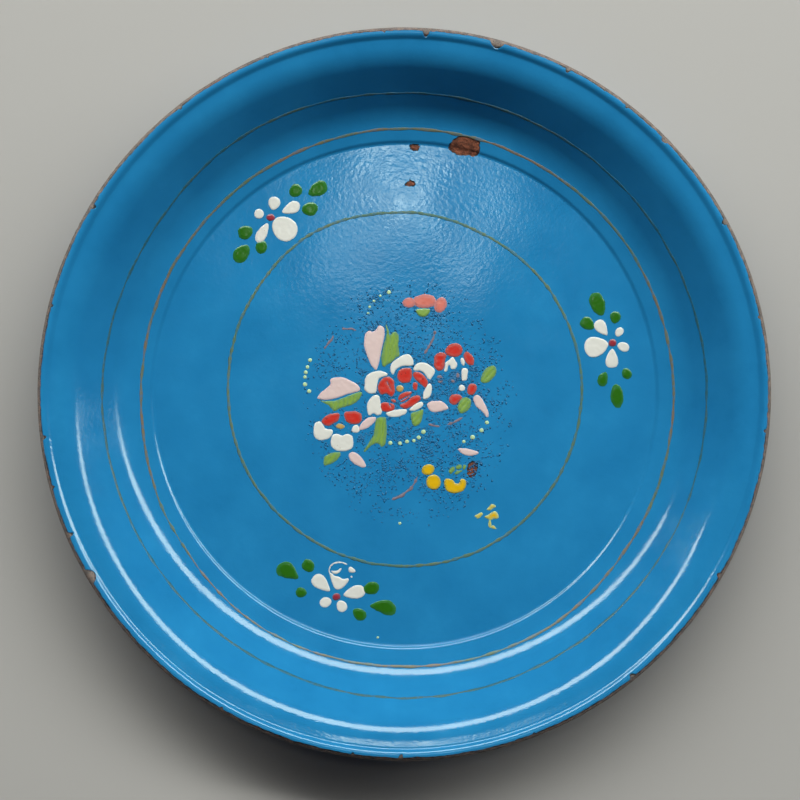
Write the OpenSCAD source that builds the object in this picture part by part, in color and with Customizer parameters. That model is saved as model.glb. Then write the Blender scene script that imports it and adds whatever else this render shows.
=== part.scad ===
// Round serving tray: one steel pressing with a stepped floor, a sloping wall and a curled rim,
// covered in fired vitreous enamel and decorated with lines, three sprays and a bouquet.
// Millimetres. The origin is the centre of the flat underside that the tray rests on, +Z is up.

/* [Tray] */
// Diameter over the bare curled edge
tray_d = 400; // [330:5:520]
// Thickness of the steel sheet
sheet_t = 0.8; // [0.5:0.1:1.2]
// Slope of the wall above the horizontal
wall_angle = 44; // [30:1:55]
// Straight length of the wall along its slope
wall_l = 25; // [8:0.5:34]

/* [Floor step and wall foot] */
// Slope of the small step round the floor
step_angle = 28; // [15:1:35]
// Radius of both bends of the step
step_r = 4; // [2:0.5:6]
// Straight part of the step between its bends
step_l = 1; // [0.5:0.5:3]
// Length of the ledge outside the step
ledge_l = 7; // [5:0.5:14]
// Slope of the ledge
ledge_slope = 13; // [4:1:16]
// Radius of the hollow bend at the foot of the wall
foot_r = 24; // [8:1:40]

/* [Brim and curled edge] */
// Radius of the bend from the wall to the brim
brow_r = 22; // [6:1:30]
// Length of the brim
brim_l = 3; // [2:0.5:12]
// Slope of the brim
brim_slope = 10; // [4:1:16]
// Slope of the short rise from the brim to the curl
lip_angle = 30; // [20:1:40]
// Length of that rise
lip_l = 2; // [0.5:0.5:3]
// Radius of the crease between the brim and the rise
crease_r = 3; // [2:0.5:6]
// Outer radius of the curl
curl_r = 3; // [2.5:0.5:5]
// How far the curl turns in all
curl_turn = 270; // [200:5:290]
// Angle of the curl that wear has bared above its widest line
worn_above = 45; // [10:5:60]
// Angle that wear has bared below that line
worn_below = 30; // [10:5:45]

/* [Enamel] */
// Thickness of the dark first coat
ground_t = 0.2; // [0.1:0.05:0.3]
// Thickness of the coloured coat, face and back
cover_t = 0.3; // [0.2:0.05:0.5]
// Thickness of the painted motifs and lines on top
paint_t = 0.3; // [0.2:0.05:0.5]
// Least gap between two motifs of different colour
paint_gap = 0.3; // [0.2:0.1:0.6]

/* [Lines] */
// Width of each painted line
line_w = 1.2; // [0.6:0.1:2.5]
// Distance from the edge of the floor in to the inner line
spray_band = 40; // [30:1:50]
// How far the inner line's centre lies towards +Y
line_shift = 2.5; // [0:0.5:4]
// Distance from the outer end of the ledge in to the middle line
middle_line_in = 1.2; // [0.6:0.1:4]
// Distance of the outer line up the straight part of the wall
outer_line_up = 9; // [1:0.5:14]

/* [Sprays] */
// Distance from the edge of the floor in to the heart of each spray
spray_inset = 18.5; // [17:0.5:22]
// Direction of the left spray
left_spray_at = 127; // [110:1:150]
// Direction of the right spray
right_spray_at = 14; // [0:1:40]
// Direction of the bottom spray
bottom_spray_at = 251; // [230:1:280]

/* [Hidden] */
$fn = 180;

blue = "#2279ad";
navy = "#16283c";
rusty = "#6e3a28";
white = "#ebe8e6";
leaf_green = "#3e7a1e";
light_green = "#8caa46";
pink = "#ecbec3";
red = "#d6322d";
line_brown = "#5f6a50";

arc_step = 6;      // degrees between the stations of a bend
outline_step = 15; // degrees between the points of a petal's outline

// ---- Section of the sheet, walked outwards along its upper side ----

// A station is [radius, height, heading]. A stretch is [length or bend radius, turn]: no turn is a straight.
function ahead(s, d) = [s.x + d * cos(s.z), s.y + d * sin(s.z), s.z];
function lift(s, t) = [s.x - t * sin(s.z), s.y + t * cos(s.z)];
function bend(s, r, turn) =
    let(side = sign(turn), centre = lift(s, side * r))
    [centre.x + side * r * sin(s.z + turn), centre.y - side * r * cos(s.z + turn), s.z + turn];
function stretch(s, part) =
    let(n = max(1, ceil(abs(part[1]) / arc_step)))
    part[1] == 0 ? [ahead(s, part[0])] : [for (k = [1 : n]) bend(s, part[0], part[1] * k / n)];
function walk(s, parts, i = 0) =
    i == len(parts) ? [] : let(run = stretch(s, parts[i])) concat(run, walk(run[len(run) - 1], parts, i + 1));
function last(list) = list[len(list) - 1];

step_parts = [[step_r, step_angle], [step_l, 0], [step_r, ledge_slope - step_angle]];
foot_parts = [[ledge_l, 0], [foot_r, wall_angle - ledge_slope]];
rim_parts = [
    [wall_l, 0], [brow_r, brim_slope - wall_angle], [brim_l, 0],
    [crease_r, lip_angle - brim_slope], [lip_l, 0]
];
curl_top_turn = lip_angle + 90 - worn_above;
worn_turn = worn_above + worn_below;

// Width of everything outside the floor, found by walking it from radius 0
outside_floor = walk([0, 0, 0], concat(step_parts, foot_parts, rim_parts));
floor_r = tray_d / 2 - last(outside_floor).x - curl_r * (1 + sin(lip_angle));

coat_t = ground_t + cover_t;
steel_top = coat_t + sheet_t;
face_z = steel_top + coat_t;

floor_edge = [floor_r, steel_top, 0];
step_run = walk(floor_edge, step_parts);
ledge_in = last(step_run);
foot_run = walk(ledge_in, foot_parts);
wall_foot = last(foot_run);
rim_run = walk(wall_foot, rim_parts);
back_run = concat([[0, steel_top, 0], floor_edge], step_run, foot_run, rim_run);
curl_top = walk(last(back_run), [[curl_r, -curl_top_turn]]);
curl_bare = walk(last(curl_top), [[curl_r, -worn_turn]]);
curl_hem = walk(last(curl_bare), [[curl_r, curl_top_turn + worn_turn - curl_turn]]);
face_run = concat(back_run, curl_top);
hem_run = concat([last(curl_bare)], curl_hem);
sheet_run = concat(face_run, curl_bare, curl_hem);

// Closed section of a layer that follows a run of stations between two distances from the sheet's upper side
module layer(run, from, to) {
    n = len(run);
    polygon(concat([for (s = run) lift(s, from)], [for (k = [1 : n]) lift(run[n - k], to)]));
}

// ---- Outlines of brush strokes and petals ----

// Egg to leaf outline: taper widens the +X end, pointed above 1 sharpens both ends
function petal_outline(l, w, taper = 0, pointed = 1) = [
    for (a = [0 : outline_step : 345])
        [l / 2 * cos(a), w / 2 * (1 + taper * cos(a)) * sign(sin(a)) * pow(abs(sin(a)), pointed)]
];

// Closed curve that rounds every corner of the given polygon
function rounded(points) =
    let(n = len(points))
    [for (i = [0 : n - 1]) for (t = [0 : 0.25 : 0.75])
        let(a = (points[(i + n - 1) % n] + points[i]) / 2, b = points[i], c = (points[i] + points[(i + 1) % n]) / 2)
        a * (1 - t) * (1 - t) + b * 2 * t * (1 - t) + c * t * t];

// One stroke: [x, y, length, width, direction, taper, pointed], in units of the bouquet
module petal(p) {
    translate([p[0], p[1]])
        rotate(p[4])
            polygon(petal_outline(p[2], p[3], is_undef(p[5]) ? 0 : p[5], is_undef(p[6]) ? 1 : p[6]));
}

module petals(list) {
    for (p = list) petal(p);
}

// Raises a flat outline from the top of the cover coat
module painted() {
    translate([0, 0, face_z]) linear_extrude(paint_t) children();
}

// The first outline, kept clear of the second
module clear_of() {
    difference() {
        children(0);
        offset(delta = paint_gap) children(1);
    }
}

// ---- Chips that bare the steel: [x, y, length, width, direction] on the floor and ledge ----

chips = [
    [0.235 * (floor_r + 4.5), 0.972 * (floor_r + 4.5), 15, 10.5, 80],
    [0.036 * floor_r, 0.985 * floor_r, 4, 6, 80],
    [0.024 * floor_r, 0.852 * floor_r, 4.5, 6, 70]
];

module chips(gap) {
    for (c = chips)
        translate([c[0], c[1], steel_top - 1])
            rotate(c[4])
                linear_extrude(face_z + 6)
                    polygon(petal_outline(c[2] + 2 * gap, c[3] + 2 * gap, 0.15, 0.8));
}

// ---- Pressing and coats ----

module steel_pressing() {
    color(rusty) rotate_extrude() layer(sheet_run, -sheet_t, 0);
}

module face_coat(from, to, chip_edge) {
    difference() {
        rotate_extrude() {
            layer(face_run, from, to);
            layer(hem_run, from, to);
        }
        chips(chip_edge);
    }
}

module ground_coat_face() {
    color(navy) face_coat(0, ground_t, 0);
}

module blue_cover_coat() {
    color(blue) face_coat(ground_t, coat_t, 0.5);
}

module ground_coat_back() {
    color(navy) rotate_extrude() layer(back_run, -sheet_t - ground_t, -sheet_t);
}

module back_cover_coat() {
    color(blue) rotate_extrude() layer(back_run, -sheet_t - coat_t, -sheet_t - ground_t);
}

// ---- Lines ----

inner_line_r = floor_r - spray_band;

module line_band_inner() {
    color(line_brown)
        painted()
            translate([0, line_shift])
                difference() {
                    circle(inner_line_r + line_w / 2);
                    circle(inner_line_r - line_w / 2);
                }
}

// A line on a straight slope, d along it from station s
module sloped_line(s, d) {
    color(line_brown)
        rotate_extrude()
            layer([ahead(s, d - line_w / 2), ahead(s, d + line_w / 2)], coat_t, coat_t + paint_t);
}

module line_band_middle() {
    sloped_line(ledge_in, ledge_l - max(middle_line_in, line_w / 2));
}

module line_band_outer() {
    sloped_line(wall_foot, outer_line_up);
}

// ---- Three sprays: each heart lies at spray_r, its +X pointing outwards ----

spray_r = floor_r - spray_inset;
spray_petals = [
    [-10, 0, 14, 10.5, 180, 0.25], [-4, 9.8, 11, 5.8, 115, 0.3], [-4, -9.8, 11, 5.8, -115, 0.3],
    [4.8, 4.2, 6.5, 4.6, 50, 0.2], [4.8, -4.2, 6.5, 4.6, -50, 0.2]
];
spray_leaves = [
    [4, 15.5, 6.5, 5, 70, 0.2], [-4, 25, 12, 8, 100, 0.2], [-11.5, 16.5, 8, 6, 130, 0.2],
    [4, -19.5, 7, 5.2, -75, 0.2], [-4, -30, 12.5, 8, -100, 0.2], [-10.5, -19.5, 7.5, 5.5, -125, 0.2]
];

module on_spray(direction) {
    painted() rotate(direction) translate([spray_r, 0]) children();
}

module spray_white(direction) {
    color(white) on_spray(direction) petals(spray_petals);
}

module spray_heart(direction) {
    color("#b03040") on_spray(direction) petal([0, 0, 4.6, 3.2, 0]);
}

module spray_green(direction) {
    color(leaf_green) on_spray(direction) petals(spray_leaves);
}

// ---- Bouquet: drawn for an inner line of 100 mm radius, and scaled to the line ----

bouquet = inner_line_r / 100;

rose_red = [
    [-11, 4.4, 9.5, 7.6, 55], [-0.2, 10.6, 9, 7.4, 50], [9.6, 8, 10, 4.8, -58], [6.2, 4, 4.6, 2.4, -70],
    [1.2, -2.6, 8.5, 4.4, 32], [5.6, -5.2, 10.5, 4.6, 33], [-9.4, -6.6, 7, 4.8, -15]
];
rose_white = [
    [-15.4, 6.6, 16, 12, 45], [-1, 16, 14.5, 11.5, 35], [11.6, 13, 13.5, 9, -25], [13, 1.6, 9, 5, 68],
    [7.6, -7.4, 9, 4.5, 30], [-4.2, -10.6, 12, 4.2, 5], [-16.8, -6.2, 11, 8.4, 95]
];
side_rose_red = [
    [20, 18.2, 10.4, 6.4, 75], [28.2, 24.6, 8.8, 6.8, 15], [36.4, 19.6, 8.6, 5.4, -60],
    [37.7, 2.4, 6.2, 5, 55], [29.4, -2.8, 7.6, 5.4, 25]
];
side_rose_white = [
    [26.4, 16.8, 7.4, 6.4, 40, 0.4], [32.8, 18.2, 4.4, 2.6, 115], [34.2, 10.9, 6.8, 3.4, 90], [32.2, 3.6, 3.4, 3, 0]
];
small_rose_red = [[-41.2, -14, 9.6, 6.6, 20], [-28.7, -13.2, 10, 7, -5]];
small_rose_white = [[-46.4, -20.6, 11.4, 10.6, -20], [-35, -26.8, 12.6, 9.4, 0], [-27.4, -19.2, 4.4, 4, 0]];
pink_strokes = [
    [18.6, -6.8, 11.6, 6.6, 180, 0.2, 1.3], [43.4, -6.6, 13.8, 5, 122, 0.35, 1.2], [-20.4, -16.6, 12, 5.2, 28, 0, 1.4],
    [-26.2, -36.6, 13, 5.6, 136, 0.3, 1.3], [36, -32.3, 12, 4, -8, 0, 1.4]
];
green_strokes = [
    [47.3, 11.8, 10.4, 6, 48, 0.25], [33.4, -6.4, 9, 6.6, 55, 0.2], [7, -13, 9.6, 7, 80, 0.2],
    [-40.4, -36, 10.6, 6.2, 38, 0.1, 1.2], [30, -42.4, 9.4, 6, 15]
];
yellow_strokes = [[13.4, -42.2, 7.8, 6, 20], [16.3, -49.4, 8, 7.4, 90], [28.4, -51.2, 12.4, 7.4, 5]];
small_yellow = [
    [48.6, -67.6, 6, 5, 90], [44.6, -72, 6, 2.8, 50], [52.6, -71.6, 6, 2.8, -55], [49.4, -61.8, 4.6, 2, 80]
];
coral_strokes = [[2.3, 51.3, 5.4, 5, 0], [11.3, 52.2, 11, 7, -3], [20.9, 50.4, 8.6, 6, 70]];
upper_bud_corners = [[-17, 12.6], [-22.4, 22], [-23.6, 34], [-20, 38], [-17, 32], [-13, 41], [-10.8, 30], [-13.4, 21]];
left_bud_corners = [[-51, -3.6], [-41.6, 2.6], [-42.6, 9.6], [-34, 10.6], [-22, 3.2], [-34, -1]];
upper_sepal_corners = [
    [-13.6, 16], [-12.2, 26], [-10.6, 42], [-7.6, 30.6], [-4.8, 38.4], [-2.6, 32], [-4, 26], [-1.4, 18.6], [-9, 15]
];
left_sepal_corners = [[-51, -3.8], [-36, -1.4], [-21.4, 2.6], [-28, -6], [-40.6, -11.6], [-41, -6.4]];
forked_corners = [
    [-12, -9.6], [-9.4, -16], [-8.4, -24], [-9.6, -30.6], [-14.4, -30.6], [-14.6, -23.6], [-23.8, -34.4],
    [-20.4, -27], [-16.6, -21.6], [-14.4, -16]
];
dot_runs = [
    [[-52.7, 19], [-54, 15], [-55.3, 12], [-55.7, 9.6], [-55.5, 5.4], [-53, 1.5]],
    [[-7.6, -27.4], [-2.2, -27.5], [1.9, -26.5], [5.2, -25.9], [8, -24.3], [10.8, -21.1]],
    [[46.3, -15.9], [43.3, -20.1], [38.1, -24.2]],
    [[-8.5, 57.3], [-13.4, 55.1], [-17.6, 51.3], [-20, 46.9]]
];
tendrils = [
    [[-44.8, 25.1], [-40.9, 30.2], [-39.6, 32.8]], [[-34.9, 36.2], [-31, 36.7], [-26.8, 35.8]],
    [[17.5, 35.4], [16.2, 31.1], [13.2, 25.1]], [[13.6, -16.6], [20, -17.9]], [[24, -17], [32.6, -12.9]],
    [[-6.6, -59.1], [-1, -56.5], [3.3, -53.1], [7.6, -46.2]]
];
dot_d = 1.8;
tendril_w = 1;

module in_bouquet() {
    painted() scale(bouquet) children();
}

module rose_red_outline() {
    petals(rose_red);
}

module rose_red_petals() {
    color(red) in_bouquet() clear_of() {
        rose_red_outline();
        rose_heart_outline();
    }
}

module rose_heart_outline() {
    petal([-2.4, 3.4, 4, 3.6, 0]);
}

module rose_heart() {
    color("#d99a4a") in_bouquet() rose_heart_outline();
}

module rose_white_petals() {
    color(white) in_bouquet() clear_of() {
        petals(rose_white);
        rose_red_outline();
    }
}

module side_rose_red_petals() {
    color(red) in_bouquet() petals(side_rose_red);
}

module side_rose_white_petals() {
    color(white) in_bouquet() clear_of() {
        petals(side_rose_white);
        petals(side_rose_red);
    }
}

module small_rose_red_petals() {
    color(red) in_bouquet() petals(small_rose_red);
}

module small_rose_heart() {
    color("#d99a4a") in_bouquet() petal([-35.2, -18.2, 4.2, 3, 0]);
}

module small_rose_white_petals() {
    color(white) in_bouquet() clear_of() {
        petals(small_rose_white);
        petals(small_rose_red);
    }
}

module upper_bud() {
    color(pink) in_bouquet() polygon(rounded(upper_bud_corners));
}

module left_bud() {
    color(pink) in_bouquet() polygon(rounded(left_bud_corners));
}

module bud_sepals() {
    color(light_green) in_bouquet() clear_of() {
        union() {
            polygon(rounded(upper_sepal_corners));
            polygon(rounded(left_sepal_corners));
        }
        union() {
            polygon(rounded(upper_bud_corners));
            polygon(rounded(left_bud_corners));
            petals(rose_white);
        }
    }
}

module loose_pink_petals() {
    color(pink) in_bouquet() clear_of() {
        petals(pink_strokes);
        petals(small_rose_white);
    }
}

module small_green_leaves() {
    color(light_green) in_bouquet() clear_of() {
        petals(green_strokes);
        union() {
            petals(rose_white);
            petals(side_rose_red);
            petals(yellow_strokes);
        }
    }
}

module forked_leaf() {
    color(light_green) in_bouquet() clear_of() {
        polygon(rounded(forked_corners));
        union() {
            petals(rose_white);
            petals(pink_strokes);
        }
    }
}

module coral_flower() {
    color("#eb6e64") in_bouquet() petals(coral_strokes);
}

module coral_calyx() {
    color(light_green) in_bouquet() clear_of() {
        petal([10.6, 46.6, 8, 6.6, 0]);
        petals(coral_strokes);
    }
}

module yellow_flowers() {
    color("#f5be14") in_bouquet() petals(yellow_strokes);
}

module small_yellow_flower() {
    color("#d8c030") in_bouquet() petals(small_yellow);
}

module cream_dots() {
    color("#c8e1aa") in_bouquet()
        for (run = dot_runs) for (p = run) translate(p) circle(d = dot_d, $fn = 24);
}

// One straight stretch of a tendril with square ends, from a to b
module tendril_stretch(a, b) {
    translate(a)
        rotate(atan2(b.y - a.y, b.x - a.x))
            translate([0, -tendril_w / 2])
                square([norm(b - a), tendril_w]);
}

module pink_tendrils() {
    color("#aa6e82") in_bouquet()
        for (t = tendrils) {
            for (k = [1 : len(t) - 1]) tendril_stretch(t[k - 1], t[k]);
            for (p = t) translate(p) circle(d = tendril_w * 1.2, $fn = 24);
        }
}

steel_pressing();
ground_coat_face();
ground_coat_back();
blue_cover_coat();
back_cover_coat();
line_band_inner();
line_band_middle();
line_band_outer();
spray_white(left_spray_at);  // left_spray_petals
spray_heart(left_spray_at);  // left_spray_heart
spray_green(left_spray_at);  // left_spray_leaves
spray_white(right_spray_at);  // right_spray_petals
spray_heart(right_spray_at);  // right_spray_heart
spray_green(right_spray_at);  // right_spray_leaves
spray_white(bottom_spray_at);  // bottom_spray_petals
spray_heart(bottom_spray_at);  // bottom_spray_heart
spray_green(bottom_spray_at);  // bottom_spray_leaves
rose_white_petals();
rose_red_petals();
rose_heart();
side_rose_white_petals();
side_rose_red_petals();
small_rose_white_petals();
small_rose_red_petals();
small_rose_heart();
upper_bud();
left_bud();
bud_sepals();
loose_pink_petals();
small_green_leaves();
forked_leaf();
coral_flower();
coral_calyx();
yellow_flowers();
small_yellow_flower();
cream_dots();
pink_tendrils();
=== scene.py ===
import math
import bmesh
import bpy
import numpy as np
from mathutils import Matrix, Vector


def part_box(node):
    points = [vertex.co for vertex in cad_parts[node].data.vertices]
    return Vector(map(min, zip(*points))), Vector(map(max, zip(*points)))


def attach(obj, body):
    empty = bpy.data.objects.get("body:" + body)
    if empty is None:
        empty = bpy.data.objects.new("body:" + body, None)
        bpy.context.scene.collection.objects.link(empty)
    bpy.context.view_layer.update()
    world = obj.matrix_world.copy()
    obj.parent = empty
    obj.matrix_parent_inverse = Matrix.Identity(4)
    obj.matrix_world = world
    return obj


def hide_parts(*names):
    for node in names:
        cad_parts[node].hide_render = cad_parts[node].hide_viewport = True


# Blue vitreous-enamelled serving tray. Lengths in the dictionaries are millimetres, angles are degrees.
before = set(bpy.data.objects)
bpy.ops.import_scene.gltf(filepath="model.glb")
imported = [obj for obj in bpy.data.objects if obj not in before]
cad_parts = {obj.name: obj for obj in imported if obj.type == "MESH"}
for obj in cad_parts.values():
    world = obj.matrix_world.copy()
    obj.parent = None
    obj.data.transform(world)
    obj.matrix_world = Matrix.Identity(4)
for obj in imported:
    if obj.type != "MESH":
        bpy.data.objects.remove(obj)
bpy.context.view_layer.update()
mm = 0.001
print("stage: frame loaded,", len(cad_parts), "CAD nodes")


def colour(hexText):  # sRGB hex to linear
    parts = [int(hexText[i:i + 2], 16) / 255 for i in (1, 3, 5)]
    return tuple(p / 12.92 if p <= 0.04045 else ((p + 0.055) / 1.055) ** 2.4 for p in parts) + (1.0,)


def addNode(tree, kind, inputs=None, **settings):  # a node with its settings, values and links
    made = tree.nodes.new(kind)
    for key, value in settings.items():
        setattr(made, key, value)
    for key, value in (inputs or {}).items():
        if isinstance(value, bpy.types.NodeSocket):
            tree.links.new(value, made.inputs[key])
        else:
            made.inputs[key].default_value = value
    return made


def perMm(size):  # noise scale that gives features of about this many millimetres
    return 1000 / size


# The pressed sheet, walked outwards from the floor. The floor step is a little crisper than in the CAD section.
sheet = dict(thick=0.8, ground=0.2, cover=0.3, stepAngle=37, stepR=3, stepL=0.5, ledgeL=6, ledgeSlope=13,
             footR=27, wallAngle=44, wallL=24.2, browR=22, brimSlope=12.5, brimL=3.4, creaseR=3, lipAngle=38,
             lipL=1.5, curlR=3, curlTurn=270, wornAbove=45, wornBelow=30, arcStep=3)
coat = sheet["ground"] + sheet["cover"]
trayR = round(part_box("steel_pressing")[1].x / mm)
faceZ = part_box("left_spray_petals")[0].z / mm
steelTop = faceZ - coat
innerR = (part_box("line_band_inner")[1].x / mm) - 0.6


def walk(start, parts):  # stations [radius, height, heading], after the start
    run = [start]
    for size, turn in parts:
        x, z, h = run[-1]
        side = math.copysign(1, turn)
        count = max(1, math.ceil(abs(turn) / sheet["arcStep"])) if turn else 1
        for k in range(1, count + 1):
            if turn == 0:
                run.append([x + size * math.cos(math.radians(h)), z + size * math.sin(math.radians(h)), h])
                continue
            new = math.radians(h + turn * k / count)
            cx, cz = x - side * size * math.sin(math.radians(h)), z + side * size * math.cos(math.radians(h))
            run.append([cx + side * size * math.sin(new), cz - side * size * math.cos(new), math.degrees(new)])
    return run


outside = [(sheet["stepR"], sheet["stepAngle"]), (sheet["stepL"], 0),
           (sheet["stepR"], sheet["ledgeSlope"] - sheet["stepAngle"]), (sheet["ledgeL"], 0),
           (sheet["footR"], sheet["wallAngle"] - sheet["ledgeSlope"]), (sheet["wallL"], 0),
           (sheet["browR"], sheet["brimSlope"] - sheet["wallAngle"]), (sheet["brimL"], 0),
           (sheet["creaseR"], sheet["lipAngle"] - sheet["brimSlope"]), (sheet["lipL"], 0)]
floorR = trayR - walk([0, 0, 0], outside)[-1][0] - sheet["curlR"] * (1 + math.sin(math.radians(sheet["lipAngle"])))
backRun = np.array([[0, steelTop, 0]] + walk([floorR, steelTop, 0], outside))
curlRun = np.array(walk(list(backRun[-1]), [(sheet["curlR"], -sheet["curlTurn"])]))
sheetRun = np.vstack([backRun, curlRun[1:]])
curlTopTurn = sheet["lipAngle"] + 90 - sheet["wornAbove"]
hemTurn = curlTopTurn + sheet["wornAbove"] + sheet["wornBelow"]


def lengths(run):  # distance along a run of stations
    steps = np.hypot(np.diff(run[:, 0]), np.diff(run[:, 1]))
    return np.concatenate([[0], np.cumsum(steps)])


sheetS = lengths(sheetRun)
curlStart = sheetS[len(backRun) - 1]


def stationAt(s):  # stations at distances s along the sheet
    s = np.asarray(s, float)
    return np.stack([np.interp(s, sheetS, sheetRun[:, k]) for k in range(3)], -1)


def lifted(stations, t):  # radius and height at a distance t above the sheet's upper side
    h = np.radians(stations[..., 2])
    return stations[..., 0] - t * np.sin(h), stations[..., 1] + t * np.cos(h)


# The old pressing is a little uneven: a few long waves that cross each other.
uneven = dict(seed=41, waves=7, shortest=38, longest=85, high=0.045)
rng = np.random.default_rng(uneven["seed"])
swells = [(rng.uniform(uneven["shortest"], uneven["longest"]), rng.uniform(0, math.tau), rng.uniform(0, math.tau))
          for _ in range(uneven["waves"])]


def pressed(x, y):  # how far the uneven sheet is off its true height, in mm
    total = np.zeros_like(np.asarray(x, float))
    for size, way, phase in swells:
        total += uneven["high"] * np.sin((x * math.cos(way) + y * math.sin(way)) * math.tau / size + phase)
    return total


def ripple(a, seed, count=9, low=3, high=60):  # smooth noise round a circle, about -1 to 1
    random = np.random.default_rng(seed)
    total = np.zeros_like(a)
    for _ in range(count):
        total += np.sin(a * int(random.integers(low, high)) + random.uniform(0, math.tau)) / math.sqrt(count)
    return total


def grain2d(x, y, size, seed):  # value noise on the plane, -1 to 1
    random = np.random.default_rng(seed)
    table = random.uniform(-1, 1, (64, 64))
    u, v = np.asarray(x) / size + 31.5, np.asarray(y) / size + 31.5
    iu, iv = np.floor(u).astype(int), np.floor(v).astype(int)
    fu, fv = u - iu, v - iv
    fu, fv = fu * fu * (3 - 2 * fu), fv * fv * (3 - 2 * fv)

    def pick(a, b):
        return table[a % 64, b % 64]

    low = pick(iu, iv) * (1 - fu) + pick(iu + 1, iv) * fu
    high = pick(iu, iv + 1) * (1 - fu) + pick(iu + 1, iv + 1) * fu
    return low * (1 - fv) + high * fv


def makeObject(name, verts, faces, smooth=True):  # verts in mm, pressed with the sheet
    verts = np.array(verts, float)
    verts[:, 2] += pressed(verts[:, 0], verts[:, 1])
    mesh = bpy.data.meshes.new(name)
    mesh.from_pydata((verts * mm).tolist(), [], faces)
    mesh.validate()
    mesh.shade_smooth() if smooth else mesh.shade_flat()
    made = bpy.data.objects.new(name, mesh)
    bpy.context.scene.collection.objects.link(made)
    return made


def finishPiece(piece, material, nodes):  # material, body and the CAD nodes it stands for
    piece.data.materials.clear()
    piece.data.materials.append(material)
    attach(piece, "root")
    if nodes:
        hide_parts(*nodes)


def evaluated(carrier, name):  # bakes a carrier's modifiers into a plain object and removes the carrier
    graph = bpy.context.evaluated_depsgraph_get()
    mesh = bpy.data.meshes.new_from_object(carrier.evaluated_get(graph))
    mesh.name = name
    old = carrier.data
    bpy.data.objects.remove(carrier)
    bpy.data.meshes.remove(old)
    made = bpy.data.objects.new(name, mesh)
    bpy.context.scene.collection.objects.link(made)
    return made


def newTree(name, inputs):  # a geometry tree with named inputs
    tree = bpy.data.node_groups.new(name, "GeometryNodeTree")
    tree.interface.new_socket("Geometry", in_out="INPUT", socket_type="NodeSocketGeometry")
    for label, kind in inputs:
        tree.interface.new_socket(label, in_out="INPUT", socket_type="NodeSocket" + kind)
    tree.interface.new_socket("Geometry", in_out="OUTPUT", socket_type="NodeSocketGeometry")
    return tree, addNode(tree, "NodeGroupInput"), addNode(tree, "NodeGroupOutput")


def endTree(tree, given, out, shape):  # smooths the shape, makes it real and gives it its material
    smooth = addNode(tree, "GeometryNodeSetShadeSmooth", {"Geometry": shape})
    real = addNode(tree, "GeometryNodeRealizeInstances", {"Geometry": smooth.outputs["Geometry"]})
    painted = addNode(tree, "GeometryNodeSetMaterial", {"Geometry": real.outputs["Geometry"],
                                                        "Material": given.outputs["Material"]})
    tree.links.new(painted.outputs["Geometry"], out.inputs["Geometry"])
    return tree


def runTree(tree, name, verts, edges, faces, values, attributes=None):  # verts in mm, bent with the sheet
    verts = np.array(verts, float)
    mesh = bpy.data.meshes.new(name + "Seed")
    mesh.from_pydata((verts * mm).tolist(), edges, faces)
    for key, data in (attributes or {}).items():
        mesh.attributes.new(key, "FLOAT", "POINT").data.foreach_set("value", np.asarray(data, np.float32))
    carrier = bpy.data.objects.new(name + "Seed", mesh)
    bpy.context.scene.collection.objects.link(carrier)
    modifier = carrier.modifiers.new("build", "NODES")
    modifier.node_group = tree
    sockets = {s.name: s.identifier for s in tree.interface.items_tree if s.in_out == "INPUT"}
    for label, value in values.items():
        modifier[sockets[label]] = value
    made = evaluated(carrier, name)
    co = np.zeros(len(made.data.vertices) * 3, np.float32)
    made.data.vertices.foreach_get("co", co)
    co = co.reshape(-1, 3)
    co[:, 2] += pressed(co[:, 0] / mm, co[:, 1] / mm) * mm
    made.data.vertices.foreach_set("co", co.ravel())
    made.data.update()
    return made


def pointOutwards(piece):  # merges doubles and turns a closed shell's faces outwards
    work = bmesh.new()
    work.from_mesh(piece.data)
    bmesh.ops.remove_doubles(work, verts=work.verts, dist=1e-6)
    bmesh.ops.recalc_face_normals(work, faces=work.faces)
    work.to_mesh(piece.data)
    work.free()
    return piece


camera = dict(far=50, height=1232, aside=14, down=22, lookX=-1.9, lookY=-3.7, lookZ=32, viewWidth=436.6, sensor=36)


def aim(thing, place, target, up=(0, 1, 0)):  # stands at place, looks at target, with its top towards up
    back = (Vector(place) - Vector(target)).normalized()
    across = Vector(up).cross(back).normalized()
    turn = Matrix((across, back.cross(across), back)).transposed().to_4x4()
    thing.matrix_world = Matrix.Translation(Vector(place) * mm) @ turn


def makeCamera():
    data = bpy.data.cameras.new("camera")
    made = bpy.data.objects.new("camera", data)
    bpy.context.scene.collection.objects.link(made)
    place = (camera["aside"], -camera["down"], camera["height"])
    aim(made, place, (camera["lookX"], camera["lookY"], camera["lookZ"]))
    data.sensor_width = camera["sensor"]
    data.lens = camera["sensor"] * (camera["height"] - camera["lookZ"]) / camera["viewWidth"]
    data.clip_end = camera["far"]
    bpy.context.scene.camera = made


# A long strip window to the north gives the arcs and leaves the wall below it dark. Its parts are [from, to, share
# of the full brightness], along it in mm, and fade towards the east. Each overhead pane is [x, y, long, wide, watts].
lights = dict(tilt=45.5, turn=-11, away=2300, wide=580, wattsPerMetre=18.8, tint="#eefff4", fill=0.02,
              sky="#dfe6ee", parts=[(-6250, 4400, 1), (4400, 5000, 0.7), (5000, 5600, 0.4), (5600, 6400, 0.16)],
              panes=[(-22, 360, 100, 90, 0.38), (-104, 335, 70, 125, 0.05), (24, 275, 100, 100, 0.15),
                     (-96, 245, 80, 80, 0.09), (130, 290, 110, 110, 0.008)], panesHigh=2000)


def addLight(name, place, target, long, wide, watts, up=(0, 1, 0)):
    data = bpy.data.lights.new(name, "AREA")
    data.shape, data.size, data.size_y, data.energy = "RECTANGLE", long * mm, wide * mm, watts
    data.color = colour(lights["tint"])[:3]
    made = bpy.data.objects.new(name, data)
    bpy.context.scene.collection.objects.link(made)
    aim(made, place, target, up)


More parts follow.
